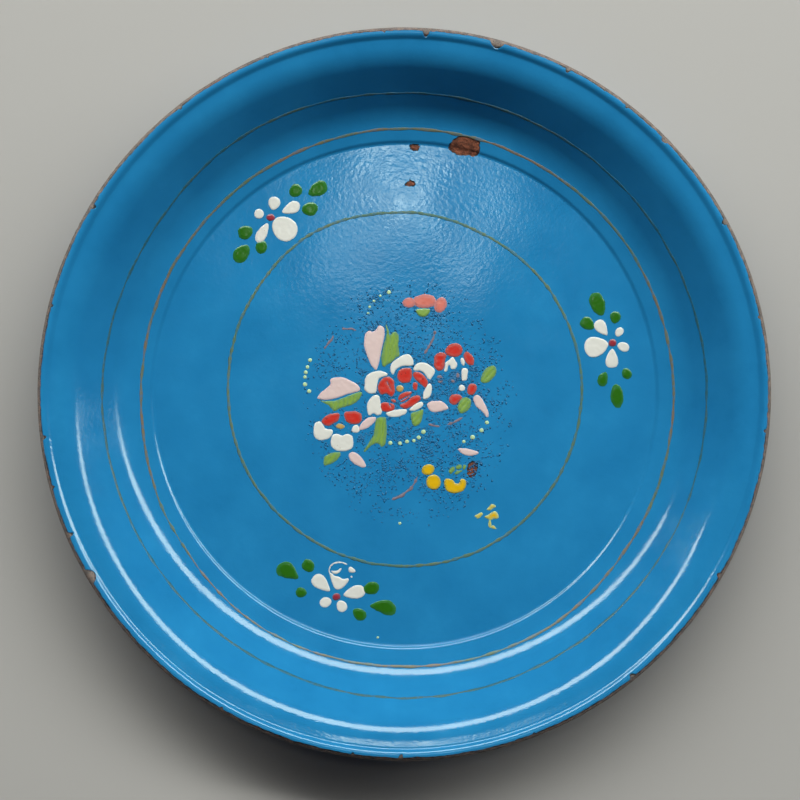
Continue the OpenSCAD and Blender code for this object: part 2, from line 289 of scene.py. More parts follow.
def makeLights():
    tilt, turn = math.radians(lights["tilt"]), math.radians(lights["turn"])
    out = lights["away"] * math.sin(tilt)
    along = np.array([math.cos(turn), math.sin(turn), 0])
    place = np.array([-out * math.sin(turn), out * math.cos(turn), lights["away"] * math.cos(tilt)])
    for number, (first, last, share) in enumerate(lights["parts"]):
        shift, long = along * (first + last) / 2, last - first
        addLight(f"stripLight{number}", place + shift, shift, long, lights["wide"],
                 lights["wattsPerMetre"] * long * mm * share, (0, 0, 1))
    for number, (x, y, long, wide, watts) in enumerate(lights["panes"]):
        addLight(f"paneLight{number}", (x, y, lights["panesHigh"]), (x, y, 0), long, wide, watts)
    world = bpy.data.worlds.new("world")
    world.use_nodes = True
    world.node_tree.nodes["Background"].inputs["Color"].default_value = colour(lights["sky"])
    world.node_tree.nodes["Background"].inputs["Strength"].default_value = lights["fill"]
    bpy.context.scene.world = world
    bpy.context.scene.view_settings.view_transform = "Standard"


floor = dict(half=9, drop=0.0004, tone="#c2b4b6", roughness=0.9)  # metres


def makeFloor():
    material = bpy.data.materials.new("paleFloor")
    material.use_nodes = True
    shader = material.node_tree.nodes["Principled BSDF"]
    shader.inputs["Base Color"].default_value = colour(floor["tone"])
    shader.inputs["Roughness"].default_value = floor["roughness"]
    half = floor["half"]
    mesh = bpy.data.meshes.new("floor")
    mesh.from_pydata([(-half, -half, 0), (half, -half, 0), (half, half, 0), (-half, half, 0)], [], [(0, 1, 2, 3)])
    mesh.materials.append(material)
    made = bpy.data.objects.new("floor", mesh)
    bpy.context.scene.collection.objects.link(made)
    made.location.z = -floor["drop"]


makeCamera()
makeLights()
makeFloor()
print("stage: camera, light and floor")


def newMaterial(name):  # an empty material with its shader
    material = bpy.data.materials.new(name)
    material.use_nodes = True
    tree = material.node_tree
    tree.nodes.clear()
    shader = addNode(tree, "ShaderNodeBsdfPrincipled")
    addNode(tree, "ShaderNodeOutputMaterial", {"Surface": shader.outputs["BSDF"]})
    return material, tree, shader


# Vitreous enamel: ground glass melted on steel. Glossy, a little wavy like orange peel, with a slow drift of tone.
glaze = dict(tone="#2683c1", deep="#217bb7", light="#2c8cc9", clouds=34, mottle=5.5, smear=12, peel=2.3,
             peelHigh=0.043, fine=1.1, fineHigh=0.01, roughLow=0.08, roughHigh=0.16, ior=1.52)


def blueGlaze(name, tone, deep, light, peelHigh):
    material, tree, shader = newMaterial(name)
    where = addNode(tree, "ShaderNodeTexCoord").outputs["Object"]
    clouds = addNode(tree, "ShaderNodeTexNoise", {"Vector": where, "Scale": perMm(glaze["clouds"]), "Detail": 3,
                                                  "Roughness": 0.55})
    drift = addNode(tree, "ShaderNodeMapRange", {"Value": clouds.outputs[0], "From Min": 0.35, "From Max": 0.65})
    base = addNode(tree, "ShaderNodeMix", {0: drift.outputs[0], 6: colour(deep), 7: colour(light)}, data_type="RGBA")
    mottle = addNode(tree, "ShaderNodeTexNoise", {"Vector": where, "Scale": perMm(glaze["mottle"]), "Detail": 4,
                                                  "Roughness": 0.6})
    blend = addNode(tree, "ShaderNodeMapRange", {"Value": mottle.outputs[0], "From Min": 0.3, "From Max": 0.7,
                                                 "To Min": 0.25, "To Max": 0.75})
    base = addNode(tree, "ShaderNodeMix", {0: blend.outputs[0], 6: base.outputs[2], 7: colour(tone)}, data_type="RGBA")
    tree.links.new(base.outputs[2], shader.inputs["Base Color"])
    smear = addNode(tree, "ShaderNodeTexNoise", {"Vector": where, "Scale": perMm(glaze["smear"]), "Detail": 4,
                                                 "Roughness": 0.6})
    rough = addNode(tree, "ShaderNodeMapRange", {"Value": smear.outputs[0], "From Min": 0.35, "From Max": 0.7,
                                                 "To Min": glaze["roughLow"], "To Max": glaze["roughHigh"]})
    tree.links.new(rough.outputs[0], shader.inputs["Roughness"])
    shader.inputs["IOR"].default_value = glaze["ior"]
    peel = addNode(tree, "ShaderNodeTexNoise", {"Vector": where, "Scale": perMm(glaze["peel"]), "Detail": 1.0,
                                                "Roughness": 0.5, "Distortion": 0.4})
    fine = addNode(tree, "ShaderNodeTexNoise", {"Vector": where, "Scale": perMm(glaze["fine"]), "Detail": 0.0})
    bump = addNode(tree, "ShaderNodeBump", {"Height": peel.outputs[0], "Strength": 1.0, "Distance": peelHigh * mm})
    bump = addNode(tree, "ShaderNodeBump", {"Height": fine.outputs[0], "Strength": 1.0,
                                            "Distance": glaze["fineHigh"] * mm, "Normal": bump.outputs[0]})
    tree.links.new(bump.outputs[0], shader.inputs["Normal"])
    return material


underglaze = dict(spots=1.6, dark="#22262c", rusty="#84523f", roughness=0.5, high=0.12)


def darkGlaze():  # fired ground coat: dull, cobalt-dark glass with rust creeping in from the chips
    material, tree, shader = newMaterial("groundCoatGlaze")
    where = addNode(tree, "ShaderNodeTexCoord").outputs["Object"]
    spots = addNode(tree, "ShaderNodeTexNoise", {"Vector": where, "Scale": perMm(underglaze["spots"]), "Detail": 3,
                                                 "Roughness": 0.6})
    rusty = addNode(tree, "ShaderNodeMapRange", {"Value": spots.outputs[0], "From Min": 0.5, "From Max": 0.62})
    base = addNode(tree, "ShaderNodeMix", {0: rusty.outputs[0], 6: colour(underglaze["dark"]),
                                           7: colour(underglaze["rusty"])}, data_type="RGBA")
    tree.links.new(base.outputs[2], shader.inputs["Base Color"])
    shader.inputs["Roughness"].default_value = underglaze["roughness"]
    bump = addNode(tree, "ShaderNodeBump", {"Height": spots.outputs[0], "Distance": underglaze["high"] * mm})
    tree.links.new(bump.outputs[0], shader.inputs["Normal"])
    return material


rust = dict(coarse=3.5, fine=0.7, deep="#5c2b1d", pale="#985038", pits="#2e1812", rubbedDeep="#6a6062",
            rubbedPale="#9a7f78", rubbedPits="#33292b", edgeFrom=0.190, edgeTo=0.194, roughness=0.8, high=0.16)


def rustedSteel():  # bare mild steel: dull red-brown scale in the chips, greyer where hands rub the rim
    material, tree, shader = newMaterial("rustedSheetSteel")
    where = addNode(tree, "ShaderNodeTexCoord").outputs["Object"]
    coarse = addNode(tree, "ShaderNodeTexNoise", {"Vector": where, "Scale": perMm(rust["coarse"]), "Detail": 4,
                                                  "Roughness": 0.65})
    fine = addNode(tree, "ShaderNodeTexNoise", {"Vector": where, "Scale": perMm(rust["fine"]), "Detail": 3,
                                                "Roughness": 0.6})
    wide = addNode(tree, "ShaderNodeMapRange", {"Value": coarse.outputs[0], "From Min": 0.36, "From Max": 0.64})
    pits = addNode(tree, "ShaderNodeMapRange", {"Value": fine.outputs[0], "From Min": 0.52, "From Max": 0.7})
    apart = addNode(tree, "ShaderNodeVectorMath", {0: where, 1: (1, 1, 0)}, operation="MULTIPLY")
    radius = addNode(tree, "ShaderNodeVectorMath", {0: apart.outputs[0]}, operation="LENGTH")
    edge = addNode(tree, "ShaderNodeMapRange", {"Value": radius.outputs["Value"], "From Min": rust["edgeFrom"],
                                                "From Max": rust["edgeTo"]})
    scale = addNode(tree, "ShaderNodeMix", {0: wide.outputs[0], 6: colour(rust["deep"]), 7: colour(rust["pale"])},
                    data_type="RGBA")
    scale = addNode(tree, "ShaderNodeMix", {0: pits.outputs[0], 6: scale.outputs[2], 7: colour(rust["pits"])},
                    data_type="RGBA")
    rubbed = addNode(tree, "ShaderNodeMix", {0: wide.outputs[0], 6: colour(rust["rubbedDeep"]),
                                             7: colour(rust["rubbedPale"])}, data_type="RGBA")
    rubbed = addNode(tree, "ShaderNodeMix", {0: pits.outputs[0], 6: rubbed.outputs[2],
                                             7: colour(rust["rubbedPits"])}, data_type="RGBA")
    base = addNode(tree, "ShaderNodeMix", {0: edge.outputs[0], 6: scale.outputs[2], 7: rubbed.outputs[2]},
                   data_type="RGBA")
    tree.links.new(base.outputs[2], shader.inputs["Base Color"])
    shader.inputs["Roughness"].default_value = rust["roughness"]
    bump = addNode(tree, "ShaderNodeBump", {"Height": fine.outputs[0], "Distance": rust["high"] * mm})
    tree.links.new(bump.outputs[0], shader.inputs["Normal"])
    return material


# Painted enamel: pigment glass brushed on thick, so the stroke is duller and thinner at its edge.
brush = dict(cloud=2.2, pits=1.3, wander=0.9, thin=0.45, bare=0.06, high=0.03)


def paintGlaze(name, heart, rim, fleck=None, reach=0.9, roughness=0.2, ragged=0.68):
    material, tree, shader = newMaterial(name)
    where = addNode(tree, "ShaderNodeTexCoord").outputs["Object"]
    depth = addNode(tree, "ShaderNodeAttribute", attribute_name="depth")
    cloud = addNode(tree, "ShaderNodeTexNoise", {"Vector": where, "Scale": perMm(brush["cloud"]), "Detail": 3,
                                                 "Roughness": 0.6})
    wander = addNode(tree, "ShaderNodeMath", {0: cloud.outputs[0], 1: brush["wander"], 2: depth.outputs["Fac"]},
                     operation="MULTIPLY_ADD")
    full = addNode(tree, "ShaderNodeMapRange", {"Value": wander.outputs[0], "From Min": brush["thin"],
                                                "From Max": brush["thin"] + reach})
    base = addNode(tree, "ShaderNodeMix", {0: full.outputs[0], 6: colour(rim), 7: colour(heart)}, data_type="RGBA")
    if fleck:
        pits = addNode(tree, "ShaderNodeTexNoise", {"Vector": where, "Scale": perMm(brush["pits"]), "Detail": 2})
        bare = addNode(tree, "ShaderNodeMapRange", {"Value": pits.outputs[0], "From Min": ragged,
                                                    "From Max": ragged + brush["bare"]})
        base = addNode(tree, "ShaderNodeMix", {0: bare.outputs[0], 6: base.outputs[2], 7: colour(fleck)},
                       data_type="RGBA")
    tree.links.new(base.outputs[2], shader.inputs["Base Color"])
    shader.inputs["Roughness"].default_value = roughness
    shader.inputs["IOR"].default_value = glaze["ior"]
    bump = addNode(tree, "ShaderNodeBump", {"Height": cloud.outputs[0], "Distance": brush["high"] * mm})
    tree.links.new(bump.outputs[0], shader.inputs["Normal"])
    return material


lineLook = dict(patch=42, thin=2.4, roughness=0.35)


def lineGlaze(name, tone, worn):  # thin pigment line drawn on a wheel, half worn into the blue
    material, tree, shader = newMaterial(name)
    where = addNode(tree, "ShaderNodeTexCoord").outputs["Object"]
    long = addNode(tree, "ShaderNodeTexNoise", {"Vector": where, "Scale": perMm(lineLook["patch"])})
    patch = addNode(tree, "ShaderNodeMapRange", {"Value": long.outputs[0], "From Min": 0.42, "From Max": 0.62})
    base = addNode(tree, "ShaderNodeMix", {0: patch.outputs[0], 6: colour(tone), 7: colour(worn)}, data_type="RGBA")
    short = addNode(tree, "ShaderNodeTexNoise", {"Vector": where, "Scale": perMm(lineLook["thin"]), "Detail": 3,
                                                 "Roughness": 0.6})
    thin = addNode(tree, "ShaderNodeMapRange", {"Value": short.outputs[0], "From Min": 0.45, "From Max": 0.75,
                                                "To Max": 0.7})
    base = addNode(tree, "ShaderNodeMix", {0: thin.outputs[0], 6: base.outputs[2], 7: colour(glaze["deep"])},
                   data_type="RGBA")
    tree.links.new(base.outputs[2], shader.inputs["Base Color"])
    shader.inputs["Roughness"].default_value = lineLook["roughness"]
    return material


# Fired blue cover coat: a deep, wavy gloss. The coat on the back is darker and wavier.
faceBlue = blueGlaze("blueCoverGlaze", glaze["tone"], glaze["deep"], glaze["light"], glaze["peelHigh"])
backBlue = blueGlaze("blueBackGlaze", "#1e6a9a", "#185a88", "#2574a6", 0.09)
groundGlaze = darkGlaze()
bareSteel = rustedSteel()
# Brushed and fired enamel colours: opaque, paler or duller at the stroke's edge, some with worn flecks.
whitePaint = paintGlaze("whitePaintGlaze", "#f3e4e2", "#dcd8dc", "#d2b8a8", 0.4, ragged=0.72)
greenPaint = paintGlaze("leafGreenPaintGlaze", "#2f6a14", "#3a7a44")
heartPaint = paintGlaze("darkRedPaintGlaze", "#a62c3a", "#8a5268")
redPaint = paintGlaze("redPaintGlaze", "#dc3127", "#bf5f5c", "#a02a24", 1.0)
orangePaint = paintGlaze("ochrePaintGlaze", "#d9a25c", "#b59a72")
pinkPaint = paintGlaze("pinkPaintGlaze", "#f3cccc", "#e6c0c8", None, 1.2)
limePaint = paintGlaze("yellowGreenPaintGlaze", "#8ea94e", "#76986a", "#6b8a4a")
coralPaint = paintGlaze("coralPaintGlaze", "#ea786b", "#d0868a")
yellowPaint = paintGlaze("yellowPaintGlaze", "#f3b714", "#bfa348")
wornYellow = paintGlaze("wornYellowPaintGlaze", "#f2b412", "#b9c58c", None, 0.9)
# Cream for the trails of dots, mauve for the worn tendrils, navy for the duller spatter.
creamPaint = paintGlaze("creamPaintGlaze", "#cbdeb0", "#cbdeb0")
mauvePaint = paintGlaze("mauvePaintGlaze", "#b4626e", "#8c7888")
sprayPaint = paintGlaze("navySprayGlaze", "#185a8c", "#2672aa", roughness=0.35)
print("stage: materials")


# Revolves an open or closed section round Z: the section rides on a circle of 1 m radius, shifted in by 1 m.
def latheTree():
    tree, given, out = newTree("latheSection", [("Segments", "Int"), ("Merge", "Float"), ("Material", "Material")])
    section = addNode(tree, "GeometryNodeMeshToCurve", {"Mesh": given.outputs["Geometry"]})
    circle = addNode(tree, "GeometryNodeCurvePrimitiveCircle", {"Resolution": given.outputs["Segments"],
                                                                "Radius": 1.0})
    swept = addNode(tree, "GeometryNodeCurveToMesh", {"Curve": circle.outputs["Curve"],
                                                      "Profile Curve": section.outputs["Curve"]})
    closed = addNode(tree, "GeometryNodeMergeByDistance", {"Geometry": swept.outputs["Mesh"],
                                                           "Distance": given.outputs["Merge"]})
    return endTree(tree, given, out, closed.outputs["Geometry"])


latheNodes = latheTree()
lathe = dict(segments=300, merge=0.00001, sharp=35)


def revolved(name, section, material):  # section: (radius, height) in mm, closed unless it ends on the axis
    count = len(section)
    verts = [(r - 1000, -z, 0) for r, z in section]
    closed = section[0][0] > 0.01
    edges = [(k, (k + 1) % count) for k in range(count if closed else count - 1)]
    made = runTree(latheNodes, name, verts, edges, [], {"Segments": lathe["segments"], "Merge": lathe["merge"],
                                                       "Material": material})
    pointOutwards(made)
    made.data.shade_smooth()
    made.data.set_sharp_from_angle(angle=math.radians(lathe["sharp"]))
    return made


def layerSection(run, low, high):
    a, b = lifted(run, low), lifted(run, high)
    return list(zip(*a)) + list(zip(*b))[::-1]


wear = dict(inner=360, back=-1.5, bites=[
    (75, 7.5, 3.2), (86.4, 3.4, 2.8), (93, 1.2, 1.0), (63, 2.6, 1.6), (52, 1.5, 1.4), (44, 4.2, 1.8), (28, 3.0, 1.6),
    (12, 1.6, 1.0), (354, 2.0, 1.2), (330, 2.6, 1.4), (309, 3.6, 1.9), (291, 1.2, 0.9), (269.6, 2.6, 2.2), (262, 1.4, 1.2),
    (240, 2.0, 1.0), (210.3, 8.5, 3.2), (203, 2.4, 2.2), (195, 1.4, 1.2), (187, 2.4, 1.9), (166, 1.8, 1.2),
    (149, 3.0, 1.5), (128, 2.2, 1.4), (112, 1.4, 1.0)])  # direction, width, depth of each edge chip


def wornEdge(a, extra, seed):  # distance along the sheet at which a coat stops, by direction
    stop = curlStart + sheet["curlR"] * math.radians(curlTopTurn) + wear["back"] + extra
    stop = stop + 0.16 * ripple(a, seed, 11, 4, 90) + 0.1 * ripple(a, seed + 1, 11, 90, 300)
    for way, width, depth in wear["bites"]:
        off = (np.degrees(a) - way + 180) % 360 - 180
        reach = off * math.radians(1) * trayR / (width / 2)
        jag = 1 + 0.25 * ripple(a * 5, seed + 2, 5, 3, 40)
        stop = stop - (depth - extra * 0.8) * jag * np.clip(1 - reach ** 2, 0, 1) ** 0.5
    return stop


# Face coat: a coarse inner shell and a four times finer edge band, so that the worn edge is ragged at real size.
def faceCoat(name, low, high, extra, seed, fineN, edgeRings, topStep, lowStep):
    coarseN = wear["inner"]
    split = curlStart - sheet["lipL"] - sheet["brimL"] - 1.5
    bends = sheetS[(sheetS > 0) & (sheetS < split)]
    straight = np.concatenate([np.linspace(a, b, 5)[1:-1] for a, b in zip(bends, bends[1:]) if b - a > 4])
    topS = np.unique(np.concatenate([np.arange(6, floorR - 3, topStep), bends, straight, [split]]))
    lowS = np.unique(np.concatenate([np.arange(12, floorR - 3, lowStep), bends[::2], [split]]))
    verts, faces, rings = [], [], []

    def addRing(s, t, count):
        a = np.arange(count) * math.tau / count
        r, z = lifted(stationAt(s if np.ndim(s) else np.full(count, s)), t)
        rings.append((len(verts), count))
        verts.extend(zip(r * np.cos(a), r * np.sin(a), z * np.ones(count)))
        return rings[-1]

    def bridge(one, two, flip):
        (i, n), (j, m) = one, two
        for k in range(n):
            if n == m:
                quad = (i + k, j + k, j + (k + 1) % m, i + (k + 1) % n)
            else:
                ratio = m // n
                far = [j + (k * ratio + q) % m for q in range(ratio + 1)]
                quad = (i + k, *far, i + (k + 1) % n)
            faces.append(quad[::-1] if flip else quad)

    def side(levels, height, flip, edgeSteps):
        centre = len(verts)
        verts.append((0, 0, steelTop + height))
        last = addRing(levels[0], height, coarseN)
        for k in range(coarseN):
            fan = (centre, last[0] + k, last[0] + (k + 1) % coarseN)
            faces.append(fan[::-1] if flip else fan)
        for s in levels[1:]:
            ring = addRing(s, height, coarseN)
            bridge(last, ring, flip)
            last = ring
        a = np.arange(fineN) * math.tau / fineN
        stop = wornEdge(a, extra, seed)
        for u in edgeSteps:
            s = split + (stop - split) * u
            gap = np.clip((stop - s) / 0.4, 0, 1)
            t = low + (height - low) * np.sqrt(1 - (1 - gap) ** 2)
            ring = addRing(s, t, fineN)
            bridge(last, ring, flip)
            last = ring
        return last

    edgeTop = 1 - (1 - np.linspace(1 / edgeRings, 1, edgeRings)) ** 1.2
    top = side(topS, high, False, edgeTop)
    under = side(lowS, low, True, [0.3, 0.6, 0.85])
    bridge(under, top, True)
    return makeObject(name, verts, faces)


def hemSection(low, high):  # what is left of a coat under the curl
    start = math.radians(hemTurn) * sheet["curlR"] + curlStart
    s = np.linspace(start, sheetS[-1], 16)
    return layerSection(stationAt(s), low, high)


# Chips knocked through the enamel down to the sheet. Each is a ring of points in mm.
chips = dict(flare=0.3, coverBack=0.45, tight=[0, 0.5, 0.5, 0.3], onStep=0, rings=[
    [(25.0, 138.4), (26.3, 140.6), (28.8, 142.7), (31.6, 144.4), (35.2, 144.4), (38.8, 143.6), (41.1, 142.7),
     (42.0, 140.2), (42.2, 137.7), (41.6, 134.8), (39.8, 133.8), (36.3, 134.0), (32.7, 134.0), (29.8, 134.5),
     (27.7, 135.7), (25.5, 137.4)],
    [(3.0, 140.0), (5.9, 140.5), (8.2, 140.0), (8.8, 138.4), (8.0, 136.6), (5.9, 136.2), (3.7, 137.0), (3.0, 138.6)],
    [(0.0, 117.7), (1.4, 119.0), (2.6, 119.6), (3.2, 121.2), (4.0, 120.0), (5.4, 119.7), (6.6, 118.0), (6.0, 116.6),
     (3.4, 116.3), (0.9, 116.6)],
    [(35.3, -44.5), (35.5, -40.2), (37.7, -37.6), (40.7, -38.3), (41.1, -41.9), (39.4, -45.8), (36.8, -46.6)]])


def smoothRing(points, cuts=4):  # closed curve through the points
    p = np.array(points, float)
    out = []
    for k in range(len(p)):
        a, b, c, d = p[k - 1], p[k], p[(k + 1) % len(p)], p[(k + 2) % len(p)]
        for t in np.arange(cuts) / cuts:
            out.append(0.5 * (2 * b + (c - a) * t + (2 * a - 5 * b + 4 * c - d) * t * t
                              + (3 * b - a - 3 * c + d) * t ** 3))
    return np.array(out)


def ringDepth(x, y, ring):  # distance inside a closed ring, below zero outside
    shape = x.shape
    px, py = x.ravel()[:, None], y.ravel()[:, None]
    ax, ay = ring[:, 0], ring[:, 1]
    bx, by = np.roll(ax, -1), np.roll(ay, -1)
    ex, ey = bx - ax, by - ay
    t = np.clip(((px - ax) * ex + (py - ay) * ey) / np.maximum(ex * ex + ey * ey, 1e-9), 0, 1)
    near = np.hypot(px - ax - t * ex, py - ay - t * ey).min(1)
    crosses = (ay > py) != (by > py)
    hit = px < ex * (py - ay) / np.where(np.abs(ey) < 1e-9, 1e-9, ey) + ax
    within = (crosses & hit).sum(1) % 2 == 1
    return np.where(within, near, -near).reshape(shape)


def grown(ring, more):  # moves a ring outwards
    ahead, behind = np.roll(ring, -1, 0), np.roll(ring, 1, 0)
    way = ahead - behind
    normal = np.stack([way[:, 1], -way[:, 0]], 1) / np.maximum(np.hypot(*way.T), 1e-6)[:, None]
    area = np.sum(ring[:, 0] * np.roll(ring[:, 1], -1) - np.roll(ring[:, 0], -1) * ring[:, 1])
    return ring + normal * more * math.copysign(1, area)


def chipHeight(x, y):  # height of the sheet's upper side
    return np.interp(np.hypot(x, y), sheetRun[:len(backRun), 0], sheetRun[:len(backRun), 1])


def cutChips(piece, grow):
    verts, faces = [], []
    for number, points in enumerate(chips["rings"]):
        base, ring = len(verts), grown(smoothRing(points), -chips["tight"][number])
        n = len(ring)
        jag = 0.25 * ripple(np.arange(n) * math.tau / n, 70 + number, 6, 4, 19)
        levels = [(-0.12, grow - chips["flare"]), (2.4, grow + chips["flare"] * 3)]
        if number == chips["onStep"]:
            levels.insert(0, (-3, grow - chips["flare"]))
        for rise, more in levels:
            edge = grown(ring, more + jag[:, None])
            verts.extend(zip(edge[:, 0], edge[:, 1], chipHeight(*edge.T) + rise))
        faces.append(tuple(base + k for k in range(n))[::-1])
        faces.append(tuple(base + (len(levels) - 1) * n + k for k in range(n)))
        for low in range(base, base + (len(levels) - 1) * n, n):
            faces.extend((low + k, low + (k + 1) % n, low + n + (k + 1) % n, low + n + k) for k in range(n))
    cutter = makeObject("chipCutter", verts, faces, False)
    pointOutwards(cutter)
    modifier = piece.modifiers.new("chips", "BOOLEAN")
    modifier.operation, modifier.solver, modifier.object = "DIFFERENCE", "MANIFOLD", cutter
    name = piece.name
    piece.name = name + "Whole"
    made = evaluated(piece, name)
    bpy.data.objects.remove(cutter)
    made.data.shade_smooth()
    made.data.set_sharp_from_angle(angle=math.radians(lathe["sharp"]))
    return made


# Thick paint: brush strokes and rings drawn on a fine grid, domed from their edges inwards.
paint = dict(grain=0.3, sunk=0.06, lip=0.03, wander=0.2, shiver=0.09)


def strokeDepth(x, y, stroke):  # [x, y, length, width, direction, taper, pointed, bow]
    cx, cy, long, wide, way, taper, pointed, bow = (list(stroke) + [0, 0.3, 1, 0][len(stroke) - 4:])[:8]
    w = math.radians(way)
    u = ((x - cx) * math.cos(w) + (y - cy) * math.sin(w)) / (long / 2)
    v = (y - cy) * math.cos(w) - (x - cx) * math.sin(w) - bow * (u * u - 0.4)
    v = np.abs(v) / (wide / 2 * (1 + taper * np.clip(u, -1, 1)))
    return (1 - np.sqrt(u * u + v ** (2 / pointed))) * min(long, wide) / 2


def lineDepth(x, y, line):  # distance outside a straight cut: [x0, y0, x1, y1, width]
    x0, y0, x1, y1, wide = line
    ex, ey = x1 - x0, y1 - y0
    t = np.clip(((x - x0) * ex + (y - y0) * ey) / (ex * ex + ey * ey), 0, 1)
    return np.hypot(x - x0 - t * ex, y - y0 - t * ey) - wide / 2


def contour(x, y, field):  # cells of a grid cut along field = 0: points, polygons and outer edges
    rows, cols = field.shape
    inside = field > 0
    points, ids, polygons, rim = [], {}, [], []

    def corner(i, j):
        if (i, j) not in ids:
            ids[i, j] = len(points)
            points.append((x[i, j], y[i, j], field[i, j]))
        return ids[i, j]

    def crossing(a, b):
        key = (a, b) if a < b else (b, a)
        if key not in ids:
            t = field[a] / (field[a] - field[b])
            ids[key] = len(points)
            points.append((x[a] + (x[b] - x[a]) * t, y[a] + (y[b] - y[a]) * t, 0.0))
        return ids[key]

    count = inside[:-1, :-1].astype(int) + inside[1:, :-1] + inside[:-1, 1:] + inside[1:, 1:]
    for i, j in zip(*np.nonzero(count)):
        loop, marks = [(i, j), (i, j + 1), (i + 1, j + 1), (i + 1, j)], []
        for k in range(4):
            a, b = loop[k], loop[(k + 1) % 4]
            if inside[a]:
                marks.append((corner(*a), 0))
            if inside[a] != inside[b]:
                marks.append((crossing(a, b), 1 if inside[a] else 2))
        polygons.append([m[0] for m in marks])
        for (a, kind), (b, after) in zip(marks, marks[1:] + marks[:1]):
            if kind == 1 and after == 2:
                rim.append((a, b))
    return points, polygons, rim


def paintField(x, y, strokes, rings, cuts, wander, seed):
    field = np.full(x.shape, -9.0)
    for stroke in strokes:
        field = np.maximum(field, strokeDepth(x, y, stroke))
    for ring in rings:
        field = np.maximum(field, ringDepth(x, y, smoothRing(ring)))
    for line in cuts:
        field = np.minimum(field, lineDepth(x, y, line))
    slow, quick = grain2d(x, y, 2.4, seed), grain2d(x, y, 0.8, seed + 1)
    return field + wander * (paint["wander"] * slow + paint["shiver"] * quick)


def paintPiece(node, material, strokes=(), rings=(), cuts=(), high=0.4, edge=0.9, reach=1.2, wander=1.0, seed=1,
               grain=None, ridge=None):
    step = grain or paint["grain"]
    spots = [(s[0] + a * s[2] * 0.7, s[1] + a * s[2] * 0.7) for s in strokes for a in (-1, 1)]
    spots += [p for ring in rings for p in ring]
    low, top = np.min(spots, 0) - 1.5, np.max(spots, 0) + 1.5
    x, y = np.meshgrid(np.arange(low[0], top[0], step), np.arange(low[1], top[1], step), indexing="ij")
    field = paintField(x, y, strokes, rings, cuts, wander, seed)
    points, polygons, rim = contour(x, y, field)
    p = np.array(points)
    near = np.clip(p[:, 2] / edge, 0, 1)
    dome = high * (1 - (1 - near) ** 2) + 0.04 * near * grain2d(p[:, 0], p[:, 1], 1.7, seed + 5)
    depth = np.clip(p[:, 2] / reach, 0, 1)
    if ridge:  # fine furrows left by the brush: [direction, spacing, strength]
        way = math.radians(ridge[0])
        across = (p[:, 1] * math.cos(way) - p[:, 0] * math.sin(way)) / ridge[1]
        furrow = np.sin(across * math.tau + 1.5 * grain2d(p[:, 0], p[:, 1], 4, seed + 7)) * near
        dome, depth = dome + ridge[2] * furrow, np.clip(depth + 0.4 * furrow, 0, 1)
    count = len(p)
    topside = np.stack([p[:, 0], p[:, 1], faceZ + paint["lip"] + dome], 1)
    under = np.stack([p[:, 0], p[:, 1], np.full(count, faceZ - paint["sunk"])], 1)
    faces = [f[::-1] for f in polygons] + [[count + k for k in f] for f in polygons]
    faces += [[a, b, count + b, count + a] for a, b in rim]
    piece = makeObject(node + ".paint", np.vstack([topside, under]), faces)
    piece.data.attributes.new("depth", "FLOAT", "POINT").data.foreach_set(
        "value", np.concatenate([depth, depth * 0]).astype(np.float32))
    finishPiece(pointOutwards(piece), material, [node])


# Sprays: one white flower with green leaves. Strokes are [out, along, length, width] in mm from the red heart,
# with the wide end away from it; leaves may add taper, pointed and bow.
sprays = dict(
    left=dict(shift=(-2.6, 3.2),
              white=[(5.2, -6.4, 7.5, 6.6, 0.2), (5.6, 3.9, 5.4, 5.4, 0.05), (-9.6, -2.5, 15, 13.2, 0.12),
                     (-2.7, -12.2, 10.6, 6.2, 0.4), (-4.1, 8.9, 12.2, 5.6, 0.3)],
              green=[(3.6, -20.3, 7.9, 7.2, 0.1), (-3.2, -30.4, 11.8, 7.6, 0.35), (-9.4, -20.4, 9, 7.6, 0.15),
                     (2, 16.3, 8.4, 7.6, 0.1), (-6.3, 25, 11.6, 8.2, 0.2), (-10.2, 14.1, 7.3, 6.6, 0.1)]),
    right=dict(shift=(0, -0.4),
               white=[(-3.8, 9.5, 9.8, 6.0, 0.5), (5.2, 5.0, 5.6, 4.4, 0.1), (-9.2, 0.2, 13.4, 11.0, 0.3),
                      (5.4, -3.6, 6.9, 5.2, 0.12), (-2.4, -8.3, 10.8, 6.4, 0.45)],
               green=[(-2.7, 23.1, 13.5, 8.3, 0.15), (5.1, 13.6, 6.7, 6.0, 0.1), (-10.9, 13.8, 8.4, 7.0, 0.2),
                      (3.5, -18.5, 6.2, 5.4, 0.1), (-10, -18.4, 8.2, 5.4, 0.2, 1, 0.6), (-4.8, -29.4, 13.5, 7.2, 0.1)]),
    bottom=dict(shift=(1.1, 0.2),
                white=[(-8.2, -1.7, 15, 12.6, 0.4), (-4.3, -10.1, 12.3, 7.0, 0.5),
                       (-5.6, 8.9, 12.2, 7.0, 0.35), (4.8, -4.6, 6.7, 5.6, 0.1), (3.9, 4.6, 6.6, 5.8, 0.1)],
                green=[(-4.5, -30.1, 13.5, 8.6, 0.45, 1.1, 1.2), (-11.3, -20.4, 7.6, 6.6, 0.1),
                       (4, -19.3, 6.7, 5.6, 0.1), (-11, 17, 9, 7.3, 0.1),
                       (-3, 26.8, 14.8, 7.8, 0.5, 1.1, -1.2), (4.9, 15.4, 8.0, 6.5, 0.15)]))
sprayPaintwork = dict(whiteHigh=0.25, whiteEdge=0.9, greenHigh=0.42, greenEdge=1.8, heartSize=4.6, heartHigh=0.4)
